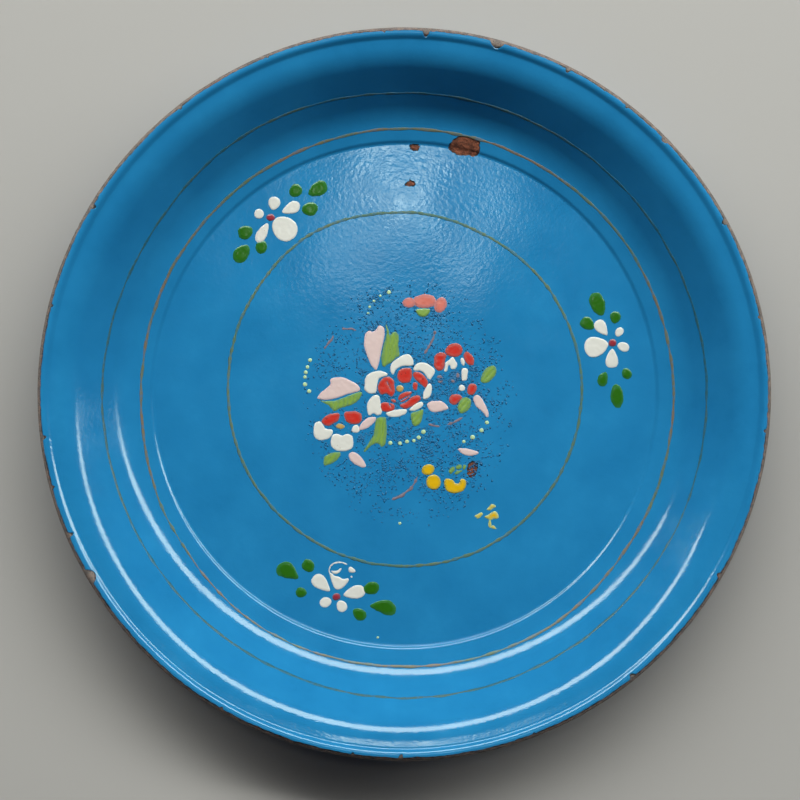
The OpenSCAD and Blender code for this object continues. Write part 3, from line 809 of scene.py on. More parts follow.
# What is left of the bottom spray's big petal: closed rings in mm from its heart, its worn outline and a flake.
wornPetal = dict(
    rings=[[(-3.7, 13.2), (-3.0, 10.3), (-2.0, 7.2), (-0.6, 4.6), (1.1, 4.0), (3.3, 4.9), (5.4, 6.8), (7.1, 9.3),
            (6.4, 10.4), (4.0, 10.0), (1.9, 11.0), (-0.9, 11.8), (-2.5, 13.2)],
           [(-2.9, 14.6), (-1.7, 13.1), (0.2, 12.8), (2.0, 13.8), (3.1, 15.8), (2.1, 16.0), (1.0, 14.9), (-0.9, 14.5)],
           [(7.1, 16.4), (8.6, 16.8), (10.8, 14.5), (9.7, 13.6), (7.3, 14.0)]],
    outline=[(-3.7, 13.4), (-4.0, 15.0), (-3.4, 17.0), (-1.6, 18.6), (0.9, 19.3), (3.4, 19.2), (5.9, 18.2)],
    outlineWide=0.9, crumb=(8.6, 11.2, 1.1))


def makeSpray(side, number):
    low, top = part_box(side + "_spray_heart")
    hx, hy = (low.x + top.x) / 2 / mm, (low.y + top.y) / 2 / mm
    turn = math.atan2(hy, hx)
    hx, hy = hx + sprays[side]["shift"][0], hy + sprays[side]["shift"][1]

    def placed(strokes):
        out = []
        for s in strokes:
            x = hx + s[0] * math.cos(turn) - s[1] * math.sin(turn)
            y = hy + s[0] * math.sin(turn) + s[1] * math.cos(turn)
            out.append([x, y, s[2], s[3], math.degrees(math.atan2(s[1], s[0]) + turn)] + list(s[4:]))
        return out

    look = sprayPaintwork
    strokes, rings = placed(sprays[side]["white"]), []
    if side == "bottom":
        strokes = strokes[1:] + [(hx + x, hy + y, d, d, 0, 0) for x, y, d in [wornPetal["crumb"]]]
        path = wornPetal["outline"]
        for (ax, ay), (bx, by) in zip(path, path[1:]):
            strokes.append((hx + (ax + bx) / 2, hy + (ay + by) / 2, math.hypot(bx - ax, by - ay) + 0.8,
                            wornPetal["outlineWide"], math.degrees(math.atan2(by - ay, bx - ax)), 0))
        rings = [[(hx + x, hy + y) for x, y in ring] for ring in wornPetal["rings"]]
    paintPiece(side + "_spray_petals", whitePaint, strokes, rings, high=look["whiteHigh"], edge=look["whiteEdge"],
               reach=1.0, wander=0.5, seed=100 + number, grain=0.25 if rings else None)
    paintPiece(side + "_spray_leaves", greenPaint, placed(sprays[side]["green"]), high=look["greenHigh"],
               edge=look["greenEdge"], reach=1.6, wander=1.0, seed=120 + number)
    paintPiece(side + "_spray_heart", heartPaint, [(hx, hy, look["heartSize"], look["heartSize"] * 0.9, 0, 0)],
               high=look["heartHigh"], edge=1.4, reach=1.4, seed=140 + number, grain=0.22)


for number, side in enumerate(sprays):
    makeSpray(side, number)
print("stage: sprays")

# Bouquet: closed rings of points and strokes, in mm from the middle of the tray.
roseWhite = [
    [(-22.2, 4.5), (-21.6, 9.2), (-18.2, 12.2), (-13.0, 13.1), (-9.1, 10.9), (-13.9, 8.8), (-14.9, 5.3), (-16.0, 1.0),
     (-19.4, 0.3), (-22.0, 2.3)],
    [(-7.7, 14.8), (-6.3, 18.2), (-1.8, 21.2), (1.6, 22.5), (4.6, 20.6), (5.3, 16.7), (3.3, 15.8), (-1.0, 15.8),
     (-4.2, 14.1), (-6.0, 11.2), (-7.2, 12.0)],
    [(5.2, 13.9), (6.6, 16.7), (10.2, 17.8), (14.1, 16.5), (17.1, 13.9), (16.9, 11.3), (14.9, 8.3), (13.2, 8.8),
     (11.5, 11.3), (9.3, 12.9), (6.8, 13.1)],
    [(14.9, 5.8), (15.6, 3.2), (14.9, -0.7), (12.3, -2.8), (10.6, -2.4), (11.0, 1.0), (13.2, 5.3)],
    [(2.9, -8.6), (5.9, -5.8), (9.8, -4.3), (10.6, -6.3), (8.0, -8.4), (5.0, -9.5)],
    [(-10.2, -10.6), (-7.9, -9.7), (-3.6, -8.6), (1.2, -8.6), (1.2, -10.6), (-1.0, -11.9), (-5.3, -12.9), (-8.7, -12.3)],
    [(-20.7, -5.8), (-19.0, -2.4), (-16.4, -0.5), (-13.9, -1.1), (-13.4, -4.1), (-12.6, -7.6), (-12.6, -10.6),
     (-14.7, -11.9), (-17.3, -10.6), (-19.4, -11.9), (-20.6, -9.3)]]
roseRed = [
    [(-14.7, 3.6), (-13.0, 7.9), (-9.1, 9.8), (-5.7, 7.9), (-5.4, 4.5), (-5.3, 1.0), (-7.0, -1.5), (-9.6, 0.2),
     (-13.0, 0.0)],
    [(-4.0, 10.5), (-2.7, 13.5), (1.6, 14.8), (4.2, 13.9), (4.3, 9.6), (2.9, 6.6), (-1.0, 6.4), (-3.1, 7.9)],
    [(5.9, 12.6), (9.3, 12.0), (12.3, 9.2), (13.4, 6.2), (11.9, 3.6), (9.8, 5.3), (6.8, 7.9), (5.0, 10.5)],
    [(4.9, 5.8), (6.8, 6.6), (7.6, 4.5), (6.8, 2.3), (5.2, 2.9)],
    [(-3.1, -1.5), (-1.0, 0.6), (3.3, 1.5), (4.3, 0.6), (2.5, -2.0), (-1.0, -4.6), (-3.1, -3.3)],
    [(-2.3, -5.8), (1.6, -4.1), (5.0, -1.1), (8.0, -0.7), (9.2, -2.8), (5.9, -5.8), (1.6, -8.0), (-1.4, -7.6)],
    [(-13.4, -6.7), (-12.1, -4.6), (-9.1, -4.6), (-5.7, -5.8), (-5.7, -8.4), (-8.3, -9.7), (-11.3, -9.7), (-13.0, -8.6)]]
sideRed = [
    [(16.6, 18.2), (17.5, 22.1), (20.5, 23.5), (23.5, 22.1), (23.1, 19.1), (22.2, 14.8), (19.6, 13.1), (17.2, 14.8)],
    [(23.1, 24.2), (24.8, 27.2), (28.2, 28.5), (31.7, 27.2), (32.7, 24.2), (31.2, 21.8), (27.8, 20.8), (24.8, 21.6)],
    [(33.2, 21.6), (34.7, 23.8), (37.2, 22.5), (39.2, 19.5), (38.7, 16.5), (36.4, 16.3), (34.2, 18.6)],
    [(35.3, 1.9), (36.4, 5.3), (39.8, 5.8), (40.7, 2.7), (38.7, -0.3), (36.0, 0.0)],
    [(25.2, -3.3), (26.5, -0.7), (29.9, 0.0), (32.5, -1.5), (30.8, -4.1), (28.2, -6.0), (26.1, -5.2)]]
sideWhite = [
    [(22.6, 13.1), (23.1, 17.3), (25.6, 19.5), (27.4, 20.8), (28.7, 18.6), (29.9, 16.5), (28.7, 14.3), (26.5, 14.1),
     (25.2, 16.1), (23.9, 13.1)],
    [(31.5, 19.9), (32.9, 20.4), (34.1, 18.2), (33.4, 16.1), (31.8, 17.3)],
    [(32.5, 13.9), (35.3, 14.1), (35.5, 10.5), (34.9, 7.7), (32.5, 8.1)]]
smallRed = [
    [(-46.1, -15.3), (-43.9, -12.3), (-39.6, -10.6), (-36.4, -11.0), (-36.6, -14.0), (-39.6, -16.6), (-43.9, -17.7)],
    [(-33.6, -12.7), (-32.8, -10.1), (-28.5, -9.5), (-24.6, -10.6), (-23.5, -13.6), (-25.0, -16.2), (-28.9, -16.8),
     (-32.3, -15.3)]]
smallWhite = [
    [(-50.8, -20.4), (-50.1, -16.6), (-47.2, -15.3), (-45.2, -17.4), (-43.9, -19.2), (-40.1, -20.0), (-40.5, -23.0),
     (-43.1, -25.2), (-47.2, -25.8), (-50.1, -23.9)],
    [(-41.1, -26.5), (-40.1, -22.8), (-37.1, -22.3), (-34.5, -23.2), (-31.9, -22.3), (-28.9, -23.5), (-28.5, -27.3),
     (-29.3, -30.3), (-32.8, -31.8), (-37.5, -31.6), (-40.5, -29.5)],
    [(-29.3, -20.4), (-28.5, -17.9), (-26.3, -17.2), (-25.0, -20.0), (-25.9, -21.5), (-28.0, -21.5)]]
upperBud = [[(-16.4, 13.9), (-19.4, 18.2), (-22.3, 26.8), (-22.0, 32.8), (-19.9, 35.4), (-17.7, 35.0), (-16.0, 35.8),
             (-13.9, 38.4), (-11.3, 37.1), (-10.9, 32.8), (-12.6, 25.1), (-13.9, 18.2), (-15.1, 14.3)]]
leftBud = [[(-48.6, -2.0), (-46.5, 1.0), (-43.1, 3.6), (-41.2, 5.8), (-41.5, 7.9), (-39.6, 9.2), (-34.5, 9.4),
            (-30.2, 7.7), (-26.7, 5.8), (-24.6, 3.2), (-25.9, 1.5), (-31.0, 0.2), (-37.1, -2.0), (-43.1, -3.1),
            (-47.4, -2.8)]]
budSepals = [
    [(-12.4, 16.5), (-12.7, 20.6), (-11.6, 27.5), (-9.8, 34.0), (-10.3, 39.2), (-8.6, 36.0), (-8.0, 33.0), (-5.3, 35.0),
     (-2.9, 32.8), (-3.1, 26.8), (-2.3, 21.6), (-4.4, 20.4), (-6.6, 18.2), (-9.6, 16.5), (-11.3, 15.5)],
    [(-47.2, -3.6), (-42.2, -3.9), (-35.9, -2.7), (-29.5, -0.3), (-24.2, 1.2), (-24.3, -1.5), (-27.6, -5.0),
     (-32.8, -7.1), (-36.2, -8.0), (-39.2, -9.7), (-40.9, -8.0), (-43.1, -5.8)]]
forkedLeaf = [[(-14.7, -13.1), (-10.4, -12.9), (-10.0, -16.1), (-9.6, -21.3), (-10.4, -27.3), (-12.6, -29.5),
               (-14.7, -27.7), (-18.2, -28.6), (-21.6, -32.0), (-22.5, -31.6), (-19.9, -27.3), (-17.3, -23.0),
               (-16.4, -18.7), (-15.8, -15.3)]]
pinkStrokes = [
    [(12.9, -5.8), (14.9, -4.1), (19.6, -3.7), (22.6, -5.0), (24.6, -8.0), (21.4, -9.3), (17.1, -10.1), (14.1, -8.9)],
    [(38.7, -2.0), (40.7, -0.3), (43.3, -2.0), (45.8, -6.7), (47.5, -11.0), (46.4, -13.1), (43.7, -9.7), (40.2, -6.7)],
    [(-25.5, -20.0), (-23.7, -16.1), (-19.9, -13.1), (-16.2, -12.9), (-16.2, -14.9), (-18.6, -17.4), (-22.0, -19.6)],
    [(-31.0, -34.2), (-29.3, -32.3), (-26.7, -32.9), (-23.3, -36.3), (-21.2, -40.2), (-23.7, -40.9), (-27.2, -39.3),
     (-29.8, -37.2)],
    [(29.9, -30.9), (33.4, -30.3), (38.5, -31.2), (41.7, -32.9), (38.5, -34.4), (33.8, -34.0)]]
smallLeaves = [
    [(42.8, 8.3), (44.1, 12.2), (46.7, 15.2), (50.1, 15.8), (51.6, 13.5), (50.6, 10.0), (47.1, 6.6), (43.7, 6.4)],
    [(29.9, -8.0), (30.4, -5.4), (32.8, -2.0), (36.8, -2.4), (37.5, -5.8), (35.5, -9.3), (31.7, -10.6)],
    [(3.7, -13.1), (4.2, -10.6), (7.6, -9.6), (10.6, -8.6), (10.4, -12.7), (8.5, -16.6), (5.9, -18.0), (4.3, -16.1)],
    [(-45.2, -38.9), (-44.4, -35.0), (-40.1, -32.8), (-35.8, -32.6), (-36.4, -35.5), (-39.6, -38.5), (-43.9, -40.0)],
    [(24.8, -42.8), (26.3, -40.9), (28.0, -40.6), (28.4, -42.5), (27.2, -43.6), (25.9, -44.5)],
    [(28.9, -40.5), (31.7, -39.2), (32.4, -41.0), (30.6, -41.9), (29.2, -41.9)],
    [(32.9, -39.7), (34.7, -40.0), (33.9, -42.1), (32.8, -41.9)],
    [(28.4, -44.1), (30.0, -42.9), (32.6, -42.7), (31.2, -43.9), (29.4, -44.8)]]
yellowKidney = [[(22.2, -50.1), (23.5, -47.2), (26.9, -47.8), (28.7, -49.8), (30.8, -49.6), (31.7, -47.5), (34.1, -47.9),
                 (34.7, -50.9), (32.9, -54.0), (28.2, -55.5), (23.9, -54.1)]]
smallYellow = [
    [(45.0, -68.5), (47.2, -67.2), (49.8, -65.7), (51.3, -65.7), (52.5, -67.4), (52.8, -69.1), (51.3, -69.8),
     (50.0, -69.6), (48.9, -70.4), (47.8, -70.4), (46.3, -69.6)],
    [(46.1, -64.6), (47.4, -62.9), (48.9, -61.4), (50.8, -62.0), (51.3, -63.1), (49.8, -64.0), (47.8, -65.0)],
    [(39.2, -68.1), (41.0, -67.0), (43.1, -66.1), (44.0, -67.2), (42.7, -68.7), (41.4, -69.6), (40.1, -69.1)],
    [(48.7, -73.9), (50.0, -73.4), (51.3, -74.7), (51.7, -75.6), (50.2, -75.4), (48.9, -74.9)],
    [(47.4, -70.5), (48.4, -70.2), (48.7, -72.8), (48.2, -74.7), (47.2, -73.4)]]
coralFlower = [
    [(5.2, 51.3), (6.3, 54.3), (11.0, 56.0), (16.2, 55.1), (18.0, 52.1), (16.8, 49.6), (12.8, 48.4), (8.0, 48.7)],
    [(16.8, 49.1), (17.8, 52.6), (21.4, 54.3), (23.9, 52.1), (23.5, 48.3), (20.5, 45.7), (17.6, 46.6)]]
coralCalyx = [[(6.8, 47.4), (10.4, 47.9), (14.1, 47.7), (14.3, 45.7), (11.9, 43.5), (8.5, 43.7), (6.8, 45.7)]]

redCuts = [(-9.6, 6.9, -7.4, 2.6, 0.5), (-4.6, -4.8, 8.6, 2.4, 0.55), (-9.0, -3.8, -7.2, -7.4, 0.3)]
paintPiece("rose_white_petals", whitePaint, rings=roseWhite, high=0.25, edge=0.9, wander=0.7, seed=200)
paintPiece("rose_red_petals", redPaint, [(-5.9, -3.7, 3.6, 2.0, -20, 0)], roseRed, cuts=redCuts, high=0.25,
           edge=1.1, reach=1.5, seed=201)
paintPiece("rose_heart", orangePaint, [(-2.3, 3.2, 3.8, 3.6, 0, 0)], high=0.35, edge=1.2, seed=202, grain=0.22)
paintPiece("side_rose_red_petals", redPaint, rings=sideRed, high=0.25, edge=1.2, reach=2.2, seed=203)
paintPiece("side_rose_white_petals", whitePaint, [(32.3, 3.4, 3.6, 3.6, 0, 0)], sideWhite, high=0.25, edge=0.8,
           seed=204, grain=0.25)
paintPiece("small_rose_red_petals", redPaint, rings=smallRed, high=0.25, edge=1.2, reach=1.6, seed=205)
paintPiece("small_rose_white_petals", whitePaint, rings=smallWhite, high=0.25, edge=0.9, wander=0.7, seed=206)
paintPiece("small_rose_heart", orangePaint, [(-35.7, -18.0, 4.4, 3.0, -8, 0)], high=0.22, edge=1.2, seed=207, grain=0.22)
paintPiece("upper_bud", pinkPaint, rings=upperBud, high=0.25, edge=1.1, wander=0.6, seed=208)
paintPiece("left_bud", pinkPaint, rings=leftBud, high=0.25, edge=1.1, wander=0.6, seed=209)
paintPiece("bud_sepals", limePaint, rings=budSepals, high=0.22, edge=1.2, reach=2.0, seed=210, ridge=(82, 2.6, 0.06))
paintPiece("loose_pink_petals", pinkPaint, rings=pinkStrokes, high=0.25, edge=1.1, wander=0.8, seed=211)
paintPiece("small_green_leaves", limePaint, rings=smallLeaves, high=0.22, edge=1.4, reach=2.0, seed=212,
           ridge=(50, 2.4, 0.05))
paintPiece("forked_leaf", limePaint, rings=forkedLeaf, high=0.22, edge=1.4, reach=2.0, seed=213, ridge=(80, 2.4, 0.06))
paintPiece("coral_flower", coralPaint, [(2.8, 51.3, 7.0, 5.4, 0, 0)], coralFlower, high=0.25, edge=1.6, reach=2.4,
           seed=214)
paintPiece("coral_calyx", limePaint, rings=coralCalyx, high=0.35, edge=1.2, seed=215)
paintPiece("yellow_flowers", yellowPaint, [(13.5, -42.1, 7.4, 6.0, 20, 0), (16.5, -49.2, 8.4, 8.2, 90, 0)], yellowKidney,
           high=0.3, edge=1.1, reach=1.8, wander=0.7, seed=216)
paintPiece("small_yellow_flower", wornYellow, rings=smallYellow, high=0.25, edge=1.2, reach=1.7, seed=217, grain=0.25)
print("stage: bouquet")


def joined(name, parts):  # one plain object from several, attributes kept
    work = bmesh.new()
    for part in parts:
        if "depth" not in part.data.attributes:
            part.data.attributes.new("depth", "FLOAT", "POINT")
        work.from_mesh(part.data)
    mesh = bpy.data.meshes.new(name)
    work.to_mesh(mesh)
    work.free()
    for part in parts:
        old = part.data
        bpy.data.objects.remove(part)
        bpy.data.meshes.remove(old)
    made = bpy.data.objects.new(name, mesh)
    bpy.context.scene.collection.objects.link(made)
    mesh.shade_smooth()
    mesh.set_sharp_from_angle(angle=math.radians(lathe["sharp"]))
    return made


# Rust standing in each chip: a low crumbling crust on the sheet.
crust = dict(grain=0.3, high=0.22, rough=0.16, inset=0.15)


def makeCrust(number, points):
    ring = grown(smoothRing(points), -crust["inset"] - chips["tight"][number])
    low, top = ring.min(0) - 1, ring.max(0) + 1
    x, y = np.meshgrid(np.arange(low[0], top[0], crust["grain"]), np.arange(low[1], top[1], crust["grain"]),
                       indexing="ij")
    field = ringDepth(x, y, ring) + 0.15 * grain2d(x, y, 0.9, 300 + number)
    points, polygons, rim = contour(x, y, field)
    p = np.array(points)
    near = np.clip(p[:, 2] / 0.8, 0, 1)
    ridges = 1 - np.abs(grain2d(p[:, 0], p[:, 1], 2.6, 310 + number))
    rough = crust["rough"] * (grain2d(p[:, 0], p[:, 1], 0.8, 320 + number) + ridges)
    height = chipHeight(p[:, 0], p[:, 1])
    count = len(p)
    topside = np.stack([p[:, 0], p[:, 1], height + 0.03 + near * (crust["high"] * 0.5 + rough)], 1)
    under = np.stack([p[:, 0], p[:, 1], height - 0.1], 1)
    faces = [f[::-1] for f in polygons] + [[count + k for k in f] for f in polygons]
    faces += [[a, b, count + b, count + a] for a, b in rim]
    piece = makeObject(f"crust{number}", np.vstack([topside, under]), faces)
    depth = np.clip(p[:, 2] / 1.2, 0.02, 1)
    piece.data.attributes.new("depth", "FLOAT", "POINT").data.foreach_set(
        "value", np.concatenate([depth, depth]).astype(np.float32))
    return pointOutwards(piece)


steelSheet = revolved("steelSheet", layerSection(sheetRun, -sheet["thick"], 0), bareSteel)
crusts = [makeCrust(number, points) for number, points in enumerate(chips["rings"])]
finishPiece(joined("steel_pressing.sheet", [steelSheet] + crusts), bareSteel, ["steel_pressing"])
print("stage: steel sheet")

groundBack = revolved("ground_coat_back.glaze", layerSection(backRun, -sheet["thick"] - sheet["ground"],
                                                             -sheet["thick"]), groundGlaze)
finishPiece(groundBack, groundGlaze, ["ground_coat_back"])
coverBack = revolved("back_cover_coat.glaze", layerSection(backRun, -sheet["thick"] - coat,
                                                           -sheet["thick"] - sheet["ground"]), backBlue)
finishPiece(coverBack, backBlue, ["back_cover_coat"])

# The ground coat shows half a millimetre past the blue.
groundLook = dict(extra=0.5, seed=51, fineN=1440, edgeRings=12, topStep=9, lowStep=16)
coverLook = dict(extra=0, seed=57, fineN=2160, edgeRings=18, topStep=4.5, lowStep=12)
groundFace = faceCoat("groundFace", 0, sheet["ground"], **groundLook)
groundFace = cutChips(pointOutwards(groundFace), 0)
groundHem = revolved("groundHem", hemSection(0, sheet["ground"]), groundGlaze)
finishPiece(joined("ground_coat_face.glaze", [groundFace, groundHem]), groundGlaze,
            ["ground_coat_face"])
coverFace = faceCoat("coverFace", sheet["ground"], coat, **coverLook)
coverFace = cutChips(pointOutwards(coverFace), chips["coverBack"])
coverHem = revolved("coverHem", hemSection(sheet["ground"], coat), faceBlue)
finishPiece(joined("blue_cover_coat.glaze", [coverFace, coverHem]), faceBlue, ["blue_cover_coat"])
print("stage: enamel coats")


# A brushed line: a flat oval swept along a path, its half width and lean read from the path's points.
def brushTree():
    tree, given, out = newTree("brushedLine", [("Sides", "Int"), ("Flatness", "Float"), ("Material", "Material")])
    path = addNode(tree, "GeometryNodeMeshToCurve", {"Mesh": given.outputs["Geometry"]})
    upright = addNode(tree, "GeometryNodeSetCurveNormal", {"Curve": path.outputs["Curve"]}, mode="Z_UP")
    lean = addNode(tree, "GeometryNodeInputNamedAttribute", {"Name": "lean"}, data_type="FLOAT")
    leaning = addNode(tree, "GeometryNodeSetCurveTilt", {"Curve": upright.outputs["Curve"],
                                                         "Tilt": lean.outputs["Attribute"]})
    oval = addNode(tree, "GeometryNodeCurvePrimitiveCircle", {"Resolution": given.outputs["Sides"], "Radius": 1.0})
    scale = addNode(tree, "ShaderNodeCombineXYZ", {"X": 1.0, "Y": given.outputs["Flatness"], "Z": 1.0})
    flat = addNode(tree, "GeometryNodeTransform", {"Geometry": oval.outputs["Curve"], "Scale": scale.outputs[0]})
    wide = addNode(tree, "GeometryNodeInputNamedAttribute", {"Name": "wide"}, data_type="FLOAT")
    swept = addNode(tree, "GeometryNodeCurveToMesh", {"Curve": leaning.outputs["Curve"], "Fill Caps": True,
                                                      "Profile Curve": flat.outputs["Geometry"],
                                                      "Scale": wide.outputs["Attribute"]})
    return endTree(tree, given, out, swept.outputs["Mesh"])


brushNodes = brushTree()
faceRadius, faceHeight = lifted(sheetRun[:len(backRun)], coat)
# Drift is how far each line strays from its circle, in mm, every 30 degrees from +X.
lines = dict(
    points=720, flatness=0.12, sides=8,
    inner=dict(radius=innerR, shiftY=2.5, wide=1.5, thin=0.22, worn=[],
               drift=[0.8, 0.2, -0.8, 0.8, 3.1, 1.2, 0.1, 0.4, 0.1, 0.1, 0.6, 0.5]),
    middle=dict(radius=148.8, shiftY=0, wide=1.5, thin=0.3, worn=[(225, 32, 0.6)],
                drift=[1.4, 0.8, -0.4, -0.3, -0.8, -1.1, -1.7, 0.6, 3.7, 3.0, 3.9, 1.8]),
    outer=dict(radius=166.8, shiftY=0, wide=1.4, thin=0.3, worn=[(335, 15, 0.3)],
               drift=[0.3, -0.3, -0.5, -0.2, 1.3, -1.0, 0.2, -0.1, 0.3, 1.0, 0.7, 0.7]))


def makeLine(which, material, seed):
    spec = lines[which]
    n = lines["points"]
    a = np.arange(n) * math.tau / n
    knots = np.array(spec["drift"] + spec["drift"][:1])
    turn = np.degrees(a) / 30
    k = turn.astype(int) % 12
    f = (1 - np.cos((turn - turn.astype(int)) * math.pi)) / 2
    radius = spec["radius"] + knots[k] * (1 - f) + knots[k + 1] * f + 0.12 * ripple(a, seed, 9, 9, 60)
    x, y = radius * np.cos(a), radius * np.sin(a) + spec["shiftY"]
    far = np.hypot(x, y)
    lean = np.radians(np.interp(far, faceRadius, sheetRun[:len(backRun), 2]))
    wide = spec["wide"] / 2 * (1 + spec["thin"] * ripple(a, seed + 1, 12, 5, 120))
    for way, spread, loss in spec["worn"]:
        off = (np.degrees(a) - way + 180) % 360 - 180
        patchy = 0.6 + 0.4 * ripple(a, seed + 2, 14, 30, 200)
        wide = wide * (1 - loss * np.exp(-(off / spread) ** 2) * np.clip(patchy, 0, 1.2))
    wide = np.clip(wide, 0.12, 1)
    verts = np.stack([x, y, np.interp(far, faceRadius, faceHeight)], 1)
    made = runTree(brushNodes, f"line_band_{which}.brushed", verts, [(i, (i + 1) % n) for i in range(n)], [],
                   {"Sides": lines["sides"], "Flatness": lines["flatness"], "Material": material},
                   {"wide": wide * mm, "lean": -lean})
    finishPiece(pointOutwards(made), material, [f"line_band_{which}"])


makeLine("inner", lineGlaze("olivePaintGlaze", "#5b7767", "#6f7a60"), 81)
makeLine("middle", lineGlaze("brownPaintGlaze", "#6c7762", "#8a705c"), 86)
makeLine("outer", lineGlaze("darkOlivePaintGlaze", "#356878", "#566d66"), 91)
print("stage: lines")

# Thin worn tendrils between the flowers, and trails of dots.
tendrils = dict(wide=2.0, flatness=0.12, step=0.5, paths=[
    [(-44.8, 25.1), (-42.9, 28.2), (-40.9, 30.2), (-39.6, 32.8)], [(-34.9, 36.2), (-31.0, 36.7), (-26.8, 35.8)],
    [(17.5, 35.4), (16.2, 31.1), (14.2, 27.1), (11.6, 22.8)], [(13.6, -16.6), (16.4, -17.2), (20.0, -17.9)],
    [(24.0, -17.0), (28.6, -15.2), (32.6, -12.9)],
    [(-6.6, -59.1), (-1.0, -56.5), (3.3, -53.1), (5.8, -49.6), (7.6, -46.2)],
    [(18.6, 9.4), (20.4, 9.9), (21.8, 9.0)], [(18.8, 7.6), (20.4, 6.8), (22.2, 7.4)], [(19.8, 8.9), (20.6, 7.9)],
    [(26.4, 8.4), (27.4, 7.2), (28.6, 7.4)], [(29.6, 9.2), (30.2, 10.6), (29.6, 12.0)]])


def makeTendrils():
    verts, edges, wide = [], [], []
    for number, path in enumerate(tendrils["paths"]):
        p = np.array(path)
        ahead = np.concatenate([[0], np.cumsum(np.hypot(*np.diff(p, axis=0).T))])
        s = np.linspace(0, ahead[-1], max(4, int(ahead[-1] / tendrils["step"])))
        x, y = np.interp(s, ahead, p[:, 0]), np.interp(s, ahead, p[:, 1])
        x, y = x + 0.35 * grain2d(s, s * 0 + number, 2.2, 400), y + 0.35 * grain2d(s, s * 0 + number, 2.2, 401)
        ends = np.clip(np.minimum(s, s[-1] - s) / 1.2 + 0.25, 0, 1)
        base = len(verts)
        wide.extend(tendrils["wide"] / 2 * ends * (0.72 + 0.5 * grain2d(s, s * 0 + number, 1.5, 402)))
        verts.extend(zip(x, y, np.full(len(s), faceZ)))
        edges.extend((base + k, base + k + 1) for k in range(len(s) - 1))
    made = runTree(brushNodes, "pink_tendrils.brushed", verts, edges, [],
                   {"Sides": lines["sides"], "Flatness": tendrils["flatness"], "Material": mauvePaint},
                   {"wide": np.clip(wide, 0.1, 1) * mm, "lean": np.zeros(len(verts))})
    finishPiece(pointOutwards(made), mauvePaint, ["pink_tendrils"])


makeTendrils()


def dotTree():
    tree, given, out = newTree("dotTrail", [("Flatness", "Float"), ("Material", "Material")])
    points = addNode(tree, "GeometryNodeMeshToPoints", {"Mesh": given.outputs["Geometry"]})
    drop = addNode(tree, "GeometryNodeMeshUVSphere", {"Segments": 12, "Rings": 8, "Radius": 1.0})
    size = addNode(tree, "GeometryNodeInputNamedAttribute", {"Name": "wide"}, data_type="FLOAT")
    high = addNode(tree, "ShaderNodeMath", {0: size.outputs["Attribute"], 1: given.outputs["Flatness"]},
                   operation="MULTIPLY")
    scale = addNode(tree, "ShaderNodeCombineXYZ", {"X": size.outputs["Attribute"], "Y": size.outputs["Attribute"],
                                                   "Z": high.outputs[0]})
    placed = addNode(tree, "GeometryNodeInstanceOnPoints", {"Points": points.outputs["Points"],
                                                            "Instance": drop.outputs["Mesh"],
                                                            "Scale": scale.outputs[0]})
    return endTree(tree, given, out, placed.outputs["Instances"])


# Each dot is [x, y, diameter].
dots = dict(flatness=0.3, grow=1.25, places=[
    (-52.7, 19.1, 1.8), (-54.1, 15.2, 1.7), (-55.1, 12.2, 1.8), (-55.5, 9.6, 1.6), (-55.5, 5.5, 2.0), (-53.2, 1.7, 1.9),
    (-7.7, -27.3, 1.9), (-2.3, -27.5, 1.8), (1.6, -26.5, 1.8), (5.5, -26.0, 1.6), (8.2, -24.3, 1.9),
    (10.8, -21.1, 2.1), (46.3, -15.9, 1.8), (43.3, -20.2, 1.9), (38.3, -24.1, 2.1), (33.4, -26.5, 1.5),
    (-14.7, -136.0, 1.1), (-2.4, -72.2, 1.3), (-8.5, 57.1, 1.9), (-13.4, 55.1, 1.1), (-16.9, 52.2, 1.2),
    (-19.3, 48.9, 1.2), (-20.1, 45.4, 1.1)])
dotsMade = runTree(dotTree(), "cream_dots.paint", [(x, y, faceZ) for x, y, d in dots["places"]], [], [],
                   {"Flatness": dots["flatness"], "Material": creamPaint},
                   {"wide": [d * dots["grow"] / 2 * mm for x, y, d in dots["places"]]})
finishPiece(pointOutwards(dotsMade), creamPaint, ["cream_dots"])
print("stage: tendrils and dots")


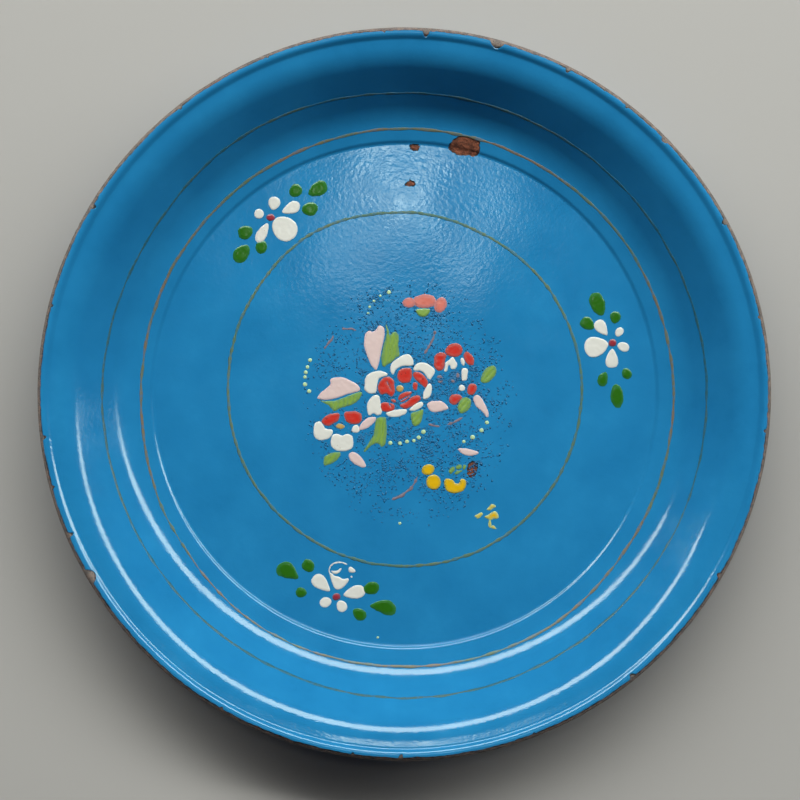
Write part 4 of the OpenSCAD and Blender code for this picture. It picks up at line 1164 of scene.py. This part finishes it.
# Dark colour spattered over the middle of the tray: scattered specks, thickest near the bouquet.
def sprayTree():
    tree, given, out = newTree("sprayedSpecks", [("Specks per m2", "Float"), ("Smallest", "Float"),
                                                 ("Largest", "Float"), ("Flatness", "Float"), ("Seed", "Int"),
                                                 ("Material", "Material")])
    thick = addNode(tree, "GeometryNodeInputNamedAttribute", {"Name": "thick"}, data_type="FLOAT")
    density = addNode(tree, "ShaderNodeMath", {0: thick.outputs["Attribute"], 1: given.outputs["Specks per m2"]},
                      operation="MULTIPLY")
    points = addNode(tree, "GeometryNodeDistributePointsOnFaces", {
        "Mesh": given.outputs["Geometry"], "Density": density.outputs[0], "Seed": given.outputs["Seed"]})
    speck = addNode(tree, "GeometryNodeMeshIcoSphere", {"Radius": 1.0, "Subdivisions": 1})
    size = addNode(tree, "FunctionNodeRandomValue", {2: given.outputs["Smallest"], 3: given.outputs["Largest"],
                                                     8: given.outputs["Seed"]})
    stretch = addNode(tree, "FunctionNodeRandomValue", {2: 0.6, 3: 1.6, 8: 7})
    long = addNode(tree, "ShaderNodeMath", {0: size.outputs[1], 1: stretch.outputs[1]}, operation="MULTIPLY")
    high = addNode(tree, "ShaderNodeMath", {0: size.outputs[1], 1: given.outputs["Flatness"]}, operation="MULTIPLY")
    scale = addNode(tree, "ShaderNodeCombineXYZ", {"X": size.outputs[1], "Y": long.outputs[0],
                                                   "Z": high.outputs[0]})
    placed = addNode(tree, "GeometryNodeInstanceOnPoints", {"Points": points.outputs["Points"],
                                                            "Instance": speck.outputs["Mesh"],
                                                            "Scale": scale.outputs[0]})
    return endTree(tree, given, out, placed.outputs["Instances"])


# Thick spots are [x, y, radius, how much thicker].
sprayed = dict(fade=0.7, middle=(3, -4.5), reach=(60, 70), cell=1.0, perM2=1400000, smallest=0.2, largest=0.7,
               flatness=0.1, seed=5, spots=[(28.2, 9.6, 3.0, 9), (20.1, 8.4, 2.2, 4), (-18.2, 36.6, 1.6, 9), (39.0, 14.3, 1.4, 9),
                              (-9, 58, 3, 2), (-16, 53, 4, 2), (-24, -25, 2, 3), (16, 44, 7, 1)])


def makeSpecks():
    (cx, cy), (rx, ry), cell = sprayed["middle"], sprayed["reach"], sprayed["cell"]
    gx, gy = np.arange(-rx, rx + cell, cell), np.arange(-ry, ry + cell, cell)
    x, y = np.meshgrid(gx + cx, gy + cy, indexing="ij")
    rho = np.hypot((x - cx) / rx, (y - cy) / ry)
    patches = 0.55 + 0.6 * grain2d(x, y, 9, 500) + 0.4 * grain2d(x, y, 4, 501)
    thick = np.clip(1 - rho, 0, 1) ** sprayed["fade"] * np.clip(patches, 0, 2)
    for sx, sy, r, more in sprayed["spots"]:
        thick = thick + more * np.exp(-((x - sx) ** 2 + (y - sy) ** 2) / (r * r * 0.5))
    n, m = x.shape
    faces = [(i * m + j, (i + 1) * m + j, (i + 1) * m + j + 1, i * m + j + 1) for i in range(n - 1)
             for j in range(m - 1)]
    verts = np.stack([x.ravel(), y.ravel(), np.full(x.size, faceZ)], 1)
    made = runTree(sprayTree(), "sprayed_specks", verts, [], faces,
                   {"Specks per m2": float(sprayed["perM2"]), "Smallest": sprayed["smallest"] * mm,
                    "Largest": sprayed["largest"] * mm, "Flatness": sprayed["flatness"], "Seed": sprayed["seed"],
                    "Material": sprayPaint}, {"thick": thick.ravel()})
    finishPiece(made, sprayPaint, [])


makeSpecks()
print("stage: sprayed specks")
